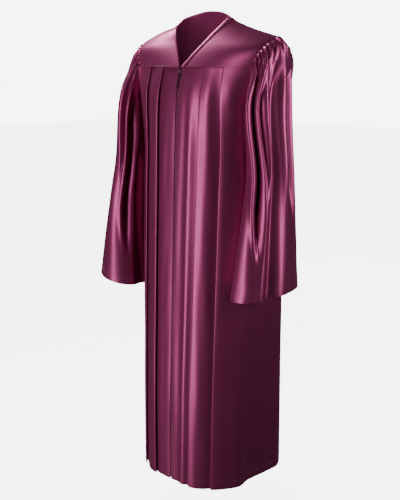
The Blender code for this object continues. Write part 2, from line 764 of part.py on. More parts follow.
def armhole_rings(front_grid, back_grid):
    """Seam point, normal and way into the hole for each column of a sleeve."""
    armhole = Armhole(front_grid, back_grid)
    half = SLEEVE_COLUMNS // 2
    spots, ways, holes = [], [], []
    for col in range(SLEEVE_COLUMNS):
        if col < HEAD_COLUMNS:
            part, share = 0, col / HEAD_COLUMNS
        elif col < half:
            part, share = 1, (col - HEAD_COLUMNS) / (half - HEAD_COLUMNS)
        elif col < SLEEVE_COLUMNS - HEAD_COLUMNS:
            part, share = 2, (col - half) / (half - HEAD_COLUMNS)
        else:
            part, share = 3, (col - SLEEVE_COLUMNS + HEAD_COLUMNS) / HEAD_COLUMNS
        spot, way, hole = armhole.at(part, share)
        spots.append(spot)
        ways.append(way)
        holes.append(hole)
    ways = [unit(way) for way in softened(ways, NORMAL_SOFTENING)]
    holes = [unit(hole) for hole in softened(holes, NORMAL_SOFTENING)]
    return spots, ways, holes


def softened(values, times):
    """Averages each entry of a closed list with its neighbours."""
    values = np.array(values)
    for _ in range(times):
        values = (np.roll(values, 1, axis=0) + 2 * values + np.roll(values, -1, axis=0)) / 4
    return values


def sleeve_section(side, turn, height):
    """Point of a sleeve's own outline: turn in degrees from its outer side, forwards."""
    out = column(side.levels, "out", height)
    centre_y = column(side.levels, "y", height)
    half_out = column(side.levels, "half_out", height)
    half_front = column(side.levels, "half_front", height)
    cosine = math.cos(math.radians(turn))
    sine = math.sin(math.radians(turn))
    x = out + half_out * math.copysign(abs(cosine) ** FLATTEN, cosine)
    y = centre_y - half_front * math.copysign(abs(sine) ** FLATTEN, sine)
    return np.array([x, y, height])


def clear_of_body(spot, room):
    """Moves a point of a sleeve straight out until it has room beside the body."""
    half_width = column(BODY_ROWS, "half_width", spot[2])
    depth = column(BODY_ROWS, "front" if spot[1] < BODY_CENTRE_Y else "back", spot[2])
    across = spot[0]
    along = spot[1] - BODY_CENTRE_Y
    power = 2.0 / FLATTEN
    size = (abs(across) / half_width) ** power + (abs(along) / depth) ** power
    here = math.hypot(across, along)
    wall = here * size ** (-1.0 / power)
    wall += room + PLEAT_CLEARANCE * ease(abs(along) / here / 0.8)
    if here >= wall:
        return spot
    grow = wall / here
    return np.array([across * grow, BODY_CENTRE_Y + along * grow, spot[2]])


def fold_lift(side, turn, share):
    """How far the folds push a sleeve's surface in, below zero, at one place."""
    room = FOLD_ROOM + (1 - FOLD_ROOM) * ease(share / FOLD_ROOM_SHARE)
    lift = 0.0
    for fold in side.folds:
        if not fold.start < share <= fold.finish:
            continue
        centre = fold.top_angle + (fold.cuff_angle - fold.top_angle) * share
        away = (turn - centre + 180.0) % 360.0 - 180.0
        opening = ease((share - fold.start) / FOLD_OPENING)
        closing = 1.0 if fold.finish >= 1.0 else ease((fold.finish - share) / FOLD_CLOSING)
        half_angle = fold.half_angle * (0.55 + 0.45 * closing)
        lift -= fold.depth * room * opening * closing * math.exp(-(away / half_angle) ** 2)
    return lift


def gather_lift(col, share):
    """Lift of the small gathers round the sleeve head, which alternate out and in."""
    around = col if col <= SLEEVE_COLUMNS // 2 else col - SLEEVE_COLUMNS
    if abs(around) > HEAD_COLUMNS:
        return 0.0
    wave = math.cos(2 * math.pi * HEAD_GATHERS * around / HEAD_COLUMNS)
    uneven = 0.8 + 0.2 * math.sin(around * 0.9)
    fade = ease(share / 0.02) * ease((GATHER_SHARE - share) / GATHER_SHARE)
    return GATHER_DEPTH * wave * uneven * fade


def sleeve_turns():
    """Where each column of a sleeve hangs, in degrees round it from its outer side."""
    half = SLEEVE_COLUMNS // 2
    marks = (0, HEAD_COLUMNS, half, SLEEVE_COLUMNS - HEAD_COLUMNS, SLEEVE_COLUMNS)
    turns = np.interp(np.arange(SLEEVE_COLUMNS), marks, HANG_TURNS)
    lean = turns - 360.0 * np.arange(SLEEVE_COLUMNS) / SLEEVE_COLUMNS
    return softened(lean, LEAN_SOFTENING) + 360.0 * np.arange(SLEEVE_COLUMNS) / SLEEVE_COLUMNS


def build_sleeve(side, front_grid, back_grid):
    spots, ways, holes = armhole_rings(front_grid, back_grid)
    turns = sleeve_turns()
    seam_row, lead_row = [], []
    for spot, way, hole, turn in zip(spots, ways, holes, turns):
        start = spot + hole * (SEAM_GAP + CLOTH / 2 + SEAM_MARGIN)
        sideways = (1 + math.cos(math.radians(turn))) / 2
        lead = unit(hole * sideways + way * (1 - sideways))
        seam_row.append(start)
        lead_row.append(start + lead * SLEEVE_LEAD)
    rows = [seam_row, lead_row]
    for stop in SLEEVE_STOPS:
        row = []
        for start, turn in zip(lead_row, turns):
            across = (1 - math.cos(math.radians(turn - HIGHEST_TURN))) / 2
            height = start[2] + (side.cuff - side.cuff_drop * across - start[2]) * stop
            lower = sleeve_section(side, turn, height)
            inner = (1 - math.cos(math.radians(turn))) / 2
            reach = 1.0 - min(stop / (CAP_SHARE + UNDERARM_SHARE * inner), 1.0)
            mixed = start + (lower - start) * math.sqrt(1.0 - reach * reach)
            row.append(np.array([mixed[0], mixed[1], height]))
        rows.append(row)
    points = np.array(rows)
    normals = outward_ring(points)
    shares = (0.0, 0.008) + SLEEVE_STOPS
    for row, share in enumerate(shares):
        for col, turn in enumerate(turns):
            lift = fold_lift(side, turn, share) + gather_lift(col, share)
            points[row, col] += normals[row, col] * lift
            if share > 0.03:
                points[row, col] = clear_of_body(points[row, col], BODY_CLEARANCE)
    normals = outward_ring(points)
    return cloth_object("sleeve_" + side.name, mirrored(points, side.sign),
                        mirrored(normals, side.sign), SATIN, ring=True)


def outward_ring(points):
    """Normals of a sleeve's grid, turned away from its own centre line."""
    normals = grid_normals(points, ring=True)
    centres = np.mean(points, axis=1, keepdims=True)
    if np.sum((points - centres) * normals) < 0:
        return -normals
    return normals


def closure_point(height, lift):
    """A point on the centre front, lifted off the middle of the front panels."""
    section = Section(height)
    spot = section.place(0.0, lift - PRESSED_RISE * pressed(height))
    return np.array([0.0, spot[1], height])


def build_zip_tape():
    middles, reaches = [], []
    heights = [TAPE_TOP] + [h for h in PANEL_HEIGHTS if TAPE_BOTTOM < h < TAPE_TOP]
    for height in heights + [TAPE_BOTTOM]:
        middle = closure_point(height, -TAPE_SETBACK)
        row = [middle + np.array([x, 0.0, 0.0])
               for x in (-TAPE_HALF_WIDTH, -TAPE_INNER, TAPE_INNER, TAPE_HALF_WIDTH)]
        middles.append(row)
        reaches.append([(0.0, -1.0, 0.0)] * len(row))
    return cloth_object("zip_tape", middles, reaches, ZIP_CLOTH)


def block(size, centre):
    """A box as a bmesh, by its full sizes."""
    work = bmesh.new()
    bmesh.ops.create_cube(work, size=1.0)
    bmesh.ops.scale(work, vec=size, verts=work.verts)
    bmesh.ops.translate(work, vec=centre, verts=work.verts)
    return work


def as_object(name, work):
    mesh = bpy.data.meshes.new(name)
    bmesh.ops.recalc_face_normals(work, faces=work.faces)
    work.to_mesh(mesh)
    work.free()
    obj = bpy.data.objects.new(name, mesh)
    bpy.context.collection.objects.link(obj)
    return obj


def combine(target, other, operation):
    """Joins or cuts one object with another, and keeps the other only as a hidden guide."""
    change = target.modifiers.new(operation.lower(), "BOOLEAN")
    change.operation = operation
    change.solver = "EXACT"
    change.object = other
    other.hide_render = True
    other.display_type = "WIRE"


def disc(radius, width, centre, sides):
    """A short cylinder along X."""
    work = bmesh.new()
    bmesh.ops.create_cone(work, cap_ends=True, segments=sides, radius1=radius, radius2=radius,
                          depth=width)
    bmesh.ops.rotate(work, verts=work.verts, cent=(0, 0, 0),
                     matrix=Matrix.Rotation(math.pi / 2, 3, "Y"))
    bmesh.ops.translate(work, vec=centre, verts=work.verts)
    return work


def zip_frame():
    """Where the slider sits, and how far the zip leans forwards there."""
    slider = closure_point(SLIDER_HEIGHT, SLIDER_LIFT)
    low = closure_point(SLIDER_HEIGHT - TAB_LEAN_LENGTH, SLIDER_LIFT)
    lean = math.atan2(slider[1] - low[1], slider[2] - low[2])
    return slider, lean


def build_zip_slider():
    """A slider with a bail on its face, made upright and then leant to the cloth."""
    spot, lean = zip_frame()
    work = block(SLIDER, (0.0, 0.0, 0.0))
    bmesh.ops.bevel(work, geom=work.edges[:], offset=SLIDER_ROUNDING, segments=2,
                    affect="EDGES", profile=0.5)
    slider = as_object("zip_slider", work)
    eye = (0.0, -SLIDER[1] / 2 - BAIL_STANDOFF, BAIL_HEIGHT)
    bail = as_object("bail_guide", disc(BAIL_OUTER, BAIL_WIDTH, eye, 24))
    hole = as_object("eye_guide", disc(BAIL_INNER, BAIL_WIDTH * 3, eye, 16))
    combine(slider, bail, "UNION")
    combine(slider, hole, "DIFFERENCE")
    for obj in (slider, bail, hole):
        obj.location = spot
        obj.rotation_euler = (-lean, 0.0, 0.0)
    slider.data.shade_smooth()
    slider.data.set_sharp_from_angle(angle=math.radians(35))
    return finish(slider, ZIP_METAL)


def build_pull_tab():
    """A flat tab that hangs from the bail; its origin is on the hinge axis."""
    spot, lean = zip_frame()
    bar = TAB_THICKNESS / 2
    work = block((TAB_WIDTH, TAB_THICKNESS, TAB_LENGTH), (0.0, 0.0, bar - TAB_LENGTH / 2))
    corners = [edge for edge in work.edges
               if abs(edge.verts[0].co.y - edge.verts[1].co.y) > TAB_THICKNESS / 2]
    bmesh.ops.bevel(work, geom=corners, offset=TAB_ROUNDING, segments=3, affect="EDGES",
                    profile=0.5)
    tab = as_object("zip_pull_tab", work)
    window = as_object("window_guide", block(
        (TAB_WINDOW[1], TAB_THICKNESS * 3, TAB_WINDOW[0]),
        (0.0, 0.0, -bar - TAB_WINDOW[0] / 2)))
    combine(tab, window, "DIFFERENCE")
    ahead = -SLIDER[1] / 2 - BAIL_STANDOFF
    hinge = (spot[0], spot[1] + ahead * math.cos(lean) + BAIL_HEIGHT * math.sin(lean),
             spot[2] - ahead * math.sin(lean) + BAIL_HEIGHT * math.cos(lean))
    for obj in (tab, window):
        obj.location = hinge
        obj.rotation_euler = (-lean, 0.0, 0.0)
    tab.data.shade_smooth()
    tab.data.set_sharp_from_angle(angle=math.radians(35))
    return finish(tab, ZIP_METAL)


def main():
    clear_scene()
    front_grids = {side.name: yoke_grid(FrontYoke(side)) for side in (LEFT, RIGHT)}
    back_grids = {side.name: yoke_grid(BackYoke(side)) for side in (LEFT, RIGHT)}
    for side in (LEFT, RIGHT):
        build_front_yoke(side, front_grids[side.name])
        cloth_object("front_panel_" + side.name, *front_rows(side), SATIN)
        build_sleeve(side, front_grids[side.name], back_grids[side.name])
    build_back_yoke(back_grids)
    build_neck_band(front_grids, back_grids)
    cloth_object("back_panel", *back_rows(), SATIN)
    build_zip_tape()
    build_zip_slider()
    build_pull_tab()


main()
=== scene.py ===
"""Dresses the graduation gown: fine cloth shells, folds, gathers, stitches, zip and satin."""
import json
import logging
import math
from dataclasses import dataclass, field
from enum import Enum
from typing import NamedTuple

import bpy
import numpy as np
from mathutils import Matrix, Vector

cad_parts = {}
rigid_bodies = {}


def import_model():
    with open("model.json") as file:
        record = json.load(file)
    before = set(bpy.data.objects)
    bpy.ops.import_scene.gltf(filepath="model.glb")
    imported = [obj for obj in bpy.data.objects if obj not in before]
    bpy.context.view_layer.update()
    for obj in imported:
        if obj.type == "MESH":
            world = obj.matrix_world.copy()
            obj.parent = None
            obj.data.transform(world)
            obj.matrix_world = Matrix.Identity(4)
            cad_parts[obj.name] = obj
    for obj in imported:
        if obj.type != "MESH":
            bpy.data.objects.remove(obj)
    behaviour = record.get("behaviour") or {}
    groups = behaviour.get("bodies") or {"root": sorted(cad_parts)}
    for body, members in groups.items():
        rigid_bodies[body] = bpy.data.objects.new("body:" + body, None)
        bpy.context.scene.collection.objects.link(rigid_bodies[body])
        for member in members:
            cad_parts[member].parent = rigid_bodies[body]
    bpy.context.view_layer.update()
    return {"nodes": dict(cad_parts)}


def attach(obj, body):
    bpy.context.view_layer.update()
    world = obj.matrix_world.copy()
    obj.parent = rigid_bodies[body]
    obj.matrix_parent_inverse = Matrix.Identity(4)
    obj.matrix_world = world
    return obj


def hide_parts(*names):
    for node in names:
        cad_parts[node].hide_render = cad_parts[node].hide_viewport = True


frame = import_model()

LOG = logging.getLogger("gown")

SEAM_HEIGHT = -0.130
UNDERARM = -0.310
HEM = -1.300
FLATTEN = 0.85
BODY_CENTRE_Y = 0.045
SEAM_GAP = 0.0004
PRESSED_RISE = 0.0044
PRESS_LENGTH = 0.09
NECK_BAND = 0.0095
BAND_INSETS = (NECK_BAND * 0.25, NECK_BAND * 0.62, NECK_BAND)


class Body(Enum):
    """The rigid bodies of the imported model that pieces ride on."""

    GOWN = "gown"
    PULL_TAB = "pull_tab"


class Held(Enum):
    """How a piece of cloth is held."""

    HUNG = "hung"
    GATHERED = "gathered"


class Wearer(Enum):
    """Which side of its wearer a piece is on."""

    LEFT = 1
    RIGHT = -1

    @property
    def word(self) -> str:
        """The side's name as the model's nodes spell it."""
        return self.name.lower()


class BodyRow(NamedTuple):
    """Half width of the body at one height, and its depth in front of and behind its middle."""

    height: float
    half_width: float
    front: float
    back: float


class ArmholeRow(NamedTuple):
    """Where the panels end at the armhole, in degrees round the body."""

    height: float
    front_angle: float
    back_angle: float


class SleeveLevel(NamedTuple):
    """A sleeve's own section at one height."""

    height: float
    out: float
    y: float
    half_out: float
    half_front: float


class Pleat(NamedTuple):
    """One knife pleat: distance from the centre at the yoke and the hem, hidden ply and step."""

    at_yoke: float
    at_hem: float
    underlay: float
    rise: float


class Fold(NamedTuple):
    """One long fold of a sleeve, by its angle round it and its reach down it."""

    top_angle: float
    cuff_angle: float
    start: float
    finish: float
    depth: float
    half_angle: float
    crest: float


class Ripple(NamedTuple):
    """A soft trough or ridge down a panel, by its place across it."""

    top: float
    low: float
    start: float
    finish: float
    lift: float
    half_width: float


class Flute(NamedTuple):
    """A soft flute that opens towards the hem."""

    angle: float
    depth: float
    half_angle: float


BODY_ROWS = (
    BodyRow(-0.130, 0.244, 0.133, 0.112), BodyRow(-0.165, 0.236, 0.141, 0.118),
    BodyRow(-0.241, 0.212, 0.150, 0.130), BodyRow(-0.310, 0.197, 0.154, 0.138),
    BodyRow(-0.481, 0.197, 0.160, 0.153), BodyRow(-0.760, 0.196, 0.170, 0.166),
    BodyRow(-1.056, 0.195, 0.180, 0.174), BodyRow(-1.300, 0.196, 0.183, 0.178),
)
ARMHOLE_ROWS = (
    ArmholeRow(-0.130, 52.0, 128.0), ArmholeRow(-0.165, 54.5, 125.5),
    ArmholeRow(-0.200, 59.0, 121.0), ArmholeRow(-0.250, 69.0, 111.0),
    ArmholeRow(-0.290, 80.0, 100.0), ArmholeRow(-0.303, 85.5, 94.5),
    ArmholeRow(-0.310, 90.0, 90.0),
)
FLUTES = (Flute(67.0, 0.0045, 7.0), Flute(85.0, -0.0220, 28.0), Flute(97.0, 0.0045, 8.0),
          Flute(126.0, 0.0030, 12.0), Flute(158.0, 0.0040, 11.0))
FLUTE_START = -0.55
GAP_HEIGHTS = (-0.130, -0.152, -0.175, -1.300)
GAP_HALVES = (0.0042, 0.0042, 0.0022, 0.0022)


def ease(share: np.ndarray | float) -> np.ndarray | float:
    """Smooth step from 0 to 1."""
    share = np.clip(share, 0.0, 1.0)
    return share * share * (3.0 - 2.0 * share)


def unit(vectors: np.ndarray) -> np.ndarray:
    """Vectors of length 1, along the last axis."""
    return vectors / np.linalg.norm(vectors, axis=-1, keepdims=True)


def hermite(places: np.ndarray, values: np.ndarray, at: np.ndarray | float) -> np.ndarray:
    """Reads a smooth curve through a few values.

    Args:
        places: Where each value is given, rising.
        values: The values, one row each.
        at: Where to read the curve.

    Returns:
        The curve's values, with the shape of at and then of one value.
    """
    slopes = np.gradient(values, places, axis=0)
    at = np.clip(np.asarray(at, dtype=float), places[0], places[-1])
    k = np.clip(np.searchsorted(places, at) - 1, 0, len(places) - 2)
    span = places[k + 1] - places[k]
    t = (at - places[k]) / span
    if values.ndim > 1:
        t, span = t[..., None], span[..., None]
    start = values[k] * (1 + 2 * t) * (1 - t) ** 2 + slopes[k] * span * t * (1 - t) ** 2
    return start + values[k + 1] * t * t * (3 - 2 * t) + slopes[k + 1] * span * t * t * (t - 1)


def column(rows: tuple, name: str, height: np.ndarray | float) -> np.ndarray:
    """One column of a table of heights, read on a smooth curve."""
    places = np.array([-row.height for row in rows])
    values = np.array([getattr(row, name) for row in rows])
    return hermite(places, values, -np.asarray(height, dtype=float))


def curve_through(points: list, share: np.ndarray | float) -> np.ndarray:
    """Points on a smooth curve through a few points, at shares of its length."""
    points = np.array(points, dtype=float)
    along = np.concatenate([[0.0], np.cumsum(np.linalg.norm(np.diff(points, axis=0), axis=1))])
    return hermite(along, points, np.asarray(share, dtype=float) * along[-1])


def half_gap(height: float) -> float:
    """Half of the gap between the two front edges."""
    return float(np.interp(-height, [-h for h in GAP_HEIGHTS], GAP_HALVES))


def mirrored(points: np.ndarray, side: Wearer) -> np.ndarray:
    """Points or directions given for the wearer's left, moved to a side."""
    points = np.array(points, dtype=float)
    points[..., 0] *= side.value
    return points


def grid_normals(points: np.ndarray, ring: bool = False) -> np.ndarray:
    """Unit normals of a grid of points, one for each point."""
    down = np.gradient(points, axis=0)
    if ring:
        across = np.roll(points, -1, axis=1) - np.roll(points, 1, axis=1)
    else:
        across = np.gradient(points, axis=1)
    normals = np.cross(across, down)
    return normals / np.maximum(np.linalg.norm(normals, axis=2, keepdims=True), 1e-12)


def outwards(points: np.ndarray, normals: np.ndarray) -> np.ndarray:
    """Normals turned away from the middle of the gown."""
    middle = np.array([0.0, BODY_CENTRE_Y, -0.30])
    return -normals if np.sum((points - middle) * normals) < 0 else normals


def smooth_noise(x: np.ndarray, y: np.ndarray, seed: int) -> np.ndarray:
    """Soft uneven values between about -1 and 1, the same each run.

    Args:
        x: Place across, in wavelengths.
        y: Place along, in wavelengths.
        seed: Picks one pattern of many.
    """
    random = np.random.default_rng(seed)
    total = np.zeros(np.broadcast(x, y).shape)
    for _ in range(7):
        angle, phase, stretch = random.uniform(0, 2 * math.pi, 2).tolist() + [
            random.uniform(0.6, 1.6)]
        total += np.sin(2 * math.pi * stretch * (x * math.cos(angle) + y * math.sin(angle))
                        + phase)
    return total / 3.2


class Section:
    """The body's outline at one height, for the wearer's left half, along the cloth."""

    SAMPLES = 721

    def __init__(self, height: float) -> None:
        """Measures the outline at a height."""
        self.height = height
        half_width = float(column(BODY_ROWS, "half_width", height))
        front = float(column(BODY_ROWS, "front", height))
        back = float(column(BODY_ROWS, "back", height))
        self.angles = np.linspace(0.0, 180.0, self.SAMPLES)
        sine = np.sin(np.radians(self.angles))
        cosine = np.cos(np.radians(self.angles))
        depth = np.where(cosine > 0, front, back)
        self.x = half_width * np.abs(sine) ** FLATTEN
        self.y = BODY_CENTRE_Y - depth * np.sign(cosine) * np.abs(cosine) ** FLATTEN
        self.arc = np.concatenate([[0.0], np.cumsum(np.hypot(np.diff(self.x), np.diff(self.y)))])
        across, along = np.gradient(self.x, self.arc), np.gradient(self.y, self.arc)
        across[0], along[0], across[-1], along[-1] = 1.0, 0.0, -1.0, 0.0
        size = np.hypot(across, along)
        self.normal_x, self.normal_y = along / size, -across / size

    def arc_at_angle(self, angle: float) -> float:
        """Distance along the cloth at an angle from the centre front."""
        return float(np.interp(angle, self.angles, self.arc))

    def arc_at_x(self, x: float, back: bool = False) -> float:
        """Distance along the cloth at a distance from the middle, in front or behind."""
        half = self.SAMPLES // 2 + 1
        if back:
            return float(np.interp(x, self.x[half - 1:][::-1], self.arc[half - 1:][::-1]))
        return float(np.interp(x, self.x[:half], self.arc[:half]))

    def place(self, arc: np.ndarray | float, lift: np.ndarray | float) -> np.ndarray:
        """Points at distances along the cloth, lifted off the outline."""
        arc = np.asarray(arc, dtype=float)
        x = np.interp(arc, self.arc, self.x) + lift * np.interp(arc, self.arc, self.normal_x)
        y = np.interp(arc, self.arc, self.y) + lift * np.interp(arc, self.arc, self.normal_y)
        return np.stack([x, y, np.full_like(x, self.height)], axis=-1)

    def normal(self, arc: float) -> np.ndarray:
        """The level way out of the cloth at a distance along it."""
        return unit(np.array([np.interp(arc, self.arc, self.normal_x),
                              np.interp(arc, self.arc, self.normal_y), 0.0]))

    def flute(self, arc: np.ndarray) -> np.ndarray:
        """Lift of the soft flutes, which grow towards the hem."""
        angle = np.interp(arc, self.arc, self.angles)
        grow = ease((FLUTE_START - self.height) / (FLUTE_START - HEM))
        return sum(f.depth * grow * np.exp(-((angle - f.angle) / f.half_angle) ** 2)
                   for f in FLUTES)


class Socket:
    """A shader value with plain arithmetic, so that a pattern reads as a formula."""

    def __init__(self, graph: "Shading", socket: bpy.types.NodeSocket) -> None:
        """Wraps one output socket of a graph."""
        self.graph = graph
        self.socket = socket

    def math(self, operation: str, *others: "Socket | float") -> "Socket":
        """This value and others, through one Math node."""
        return self.graph.node("ShaderNodeMath", {"operation": operation},
                               dict(enumerate((self, *others))))

    def __add__(self, other: "Socket | float") -> "Socket":
        """Sum."""
        return self.math("ADD", other)

    def __radd__(self, other: float) -> "Socket":
        """Sum, with a number first."""
        return self.math("ADD", other)

    def __sub__(self, other: "Socket | float") -> "Socket":
        """Difference."""
        return self.math("SUBTRACT", other)

    def __rsub__(self, other: float) -> "Socket":
        """A number less this value."""
        return (self * -1.0).math("ADD", other)

    def __mul__(self, other: "Socket | float") -> "Socket":
        """Product."""
        return self.math("MULTIPLY", other)

    def __rmul__(self, other: float) -> "Socket":
        """Product, with a number first."""
        return self.math("MULTIPLY", other)

    def sine(self) -> "Socket":
        """Sine of the value."""
        return self.math("SINE")

    def clamp(self) -> "Socket":
        """The value held between 0 and 1."""
        return self.graph.node("ShaderNodeClamp", {}, {0: self})


class Shading:
    """Builds one material's nodes."""

    def __init__(self, name: str) -> None:
        """Starts a material with its own Principled BSDF."""
        self.material = bpy.data.materials.new(name)
        self.material.use_nodes = True
        self.tree = self.material.node_tree
        self.shader = self.tree.nodes["Principled BSDF"]

    def node(self, kind: str, settings: dict, sockets: dict, output: int | str = 0) -> Socket:
        """Adds a node.

        Args:
            kind: Blender's name for the node's type.
            settings: The node's own settings.
            sockets: Values or links for its inputs, by number or name.
            output: The output to hand back.

        Returns:
            The chosen output.
        """
        made = self.tree.nodes.new(kind)
        for name, value in settings.items():
            setattr(made, name, value)
        for name, value in sockets.items():
            self.feed(made.inputs[name], value)
        return Socket(self, made.outputs[output])

    def feed(self, target: bpy.types.NodeSocket, value: "Socket | float | tuple") -> None:
        """Links a value to an input, or sets the input to a constant."""
        if isinstance(value, Socket):
            self.tree.links.new(value.socket, target)
        else:
            target.default_value = value

    def cloth_place(self, scale: tuple[float, float, float]) -> Socket:
        """The piece's own map, in metres across and along its cloth, scaled."""
        where = self.node("ShaderNodeUVMap", {"uv_map": "cloth"}, {})
        return self.node("ShaderNodeMapping", {}, {"Vector": where, "Scale": scale})

    def object_place(self, scale: tuple[float, float, float]) -> Socket:
        """Place on the object in metres, scaled."""
        where = self.node("ShaderNodeTexCoord", {}, {}, "Object")
        return self.node("ShaderNodeMapping", {}, {"Vector": where, "Scale": scale})

    def noise(self, where: Socket, detail: float = 2.0) -> Socket:
        """Soft noise from 0 to 1 over a mapped place."""
        return self.node("ShaderNodeTexNoise", {}, {"Vector": where, "Scale": 1.0,
                                                    "Detail": detail})

    def mix(self, share: Socket, low: tuple, high: tuple) -> Socket:
        """A colour between two colours."""
        made = self.tree.nodes.new("ShaderNodeMix")
        made.data_type = "RGBA"
        self.feed(made.inputs[0], share)
        self.feed(made.inputs[6], (*low, 1.0))
        self.feed(made.inputs[7], (*high, 1.0))
        return Socket(self, made.outputs[2])

    def bump(self, height: Socket, distance: float, strength: float) -> Socket:
        """A normal from a height pattern."""
        return self.node("ShaderNodeBump", {}, {"Height": height, "Distance": distance,
                                                "Strength": strength})

    def finish(self, varying: dict[str, Socket], fixed: dict[str, object]) -> bpy.types.Material:
        """Joins patterns and constants to the shader and hands back the material."""
        for name, value in {**varying, **fixed}.items():
            self.feed(self.shader.inputs[name], value)
        return self.material


@dataclass(frozen=True)
class SatinFinish:
    """Shiny woven satin: slight changes of shade, fine ribs across and soft pulls along."""

    name: str = "maroon_satin"
    shade: tuple[float, float, float] = (0.225, 0.022, 0.092)
    light: tuple[float, float, float] = (0.290, 0.040, 0.132)
    roughness: float = 0.39
    metallic: float = 0.66

    def material(self) -> bpy.types.Material:
        """Builds the satin."""
        graph = Shading(self.name)
        cloud = graph.noise(graph.cloth_place((9.0, 3.0, 1.0)), 3.0)
        slub = graph.noise(graph.cloth_place((260.0, 5200.0, 1.0)), 2.0)
        pull = graph.noise(graph.cloth_place((620.0, 24.0, 1.0)), 3.0)
        wave = graph.noise(graph.cloth_place((70.0, 10.0, 1.0)), 2.0)
        colour = graph.mix((cloud * 0.6 + slub * 0.25 + pull * 0.25 - 0.05).clamp(),
                           self.shade, self.light)
        rough = self.roughness + (slub - 0.5) * 0.10 + (cloud - 0.5) * 0.08
        relief = slub * 0.35 + pull * 0.45 + wave * 1.2
        return graph.finish(
            {"Base Color": colour, "Roughness": rough, "Normal": graph.bump(relief, 0.0004, 0.30)},
            {"Metallic": self.metallic, "Sheen Weight": 0.03, "Sheen Roughness": 0.35,
             "Sheen Tint": (0.85, 0.40, 0.60, 1.0), "Specular IOR Level": 0.8,
             "Specular Tint": (1.0, 0.62, 0.80, 1.0)})


@dataclass(frozen=True)
class ThreadFinish:
    """Shiny twisted sewing thread."""

    name: str = "maroon_thread"
    shade: tuple[float, float, float] = (0.27, 0.05, 0.13)
    light: tuple[float, float, float] = (0.40, 0.11, 0.22)

    def material(self) -> bpy.types.Material:
        """Builds the thread."""
        graph = Shading(self.name)
        twist = graph.noise(graph.object_place((2600.0, 2600.0, 2600.0)), 2.0)
        return graph.finish(
            {"Base Color": graph.mix(twist, self.shade, self.light),
             "Normal": graph.bump(twist, 0.0001, 0.5)},
            {"Roughness": 0.42, "Metallic": 0.1, "Sheen Weight": 0.2})


@dataclass(frozen=True)
class TapeFinish:
    """Matt woven zip tape with a herringbone."""

    name: str = "zip_tape_weave"
    shade: tuple[float, float, float] = (0.060, 0.007, 0.026)
    light: tuple[float, float, float] = (0.110, 0.016, 0.050)

    def material(self) -> bpy.types.Material:
        """Builds the tape's weave."""
        graph = Shading(self.name)
        place = graph.node("ShaderNodeSeparateXYZ", {}, {"Vector": graph.cloth_place(
            (5600.0, 5600.0, 1.0))})
        along = Socket(graph, place.socket.node.outputs[1])
        weave = (place + along).sine() * 0.5 + 0.5
        wear = graph.noise(graph.cloth_place((240.0, 240.0, 1.0)), 3.0)
        return graph.finish(
            {"Base Color": graph.mix((weave * 0.6 + wear * 0.5).clamp(), self.shade, self.light),
             "Normal": graph.bump(weave, 0.0002, 0.5)},
            {"Roughness": 0.72, "Metallic": 0.0, "Sheen Weight": 0.3})


@dataclass(frozen=True)
class LacquerFinish:
    """Maroon lacquer over zip metal, rubbed on its high places."""

    name: str
    shade: tuple[float, float, float] = (0.050, 0.008, 0.024)
    light: tuple[float, float, float] = (0.120, 0.030, 0.060)
    metallic: float = 0.5

    def material(self) -> bpy.types.Material:
        """Builds the lacquer."""
        graph = Shading(self.name)
        rub = graph.noise(graph.object_place((420.0, 420.0, 420.0)), 4.0)
        scratch = graph.noise(graph.object_place((2400.0, 300.0, 900.0)), 2.0)
        return graph.finish(
            {"Base Color": graph.mix((rub * 1.4 - 0.3).clamp(), self.shade, self.light),
             "Roughness": 0.26 + scratch * 0.18,
             "Normal": graph.bump(scratch, 0.00005, 0.4)},
            {"Metallic": self.metallic, "Coat Weight": 0.4})


@dataclass(frozen=True)
class FloorFinish:
    """Plain pale studio floor."""

    name: str = "studio_floor"

    def material(self) -> bpy.types.Material:
        """Builds the floor's paint."""
        graph = Shading(self.name)
        mottle = graph.noise(graph.object_place((0.7, 0.7, 0.7)), 2.0)
        return graph.finish({"Base Color": graph.mix(mottle, (0.93, 0.93, 0.93),
                                                     (0.96, 0.96, 0.96))},
                            {"Roughness": 0.9, "Emission Color": (1.0, 1.0, 1.0, 1.0),
                             "Emission Strength": 5.6})


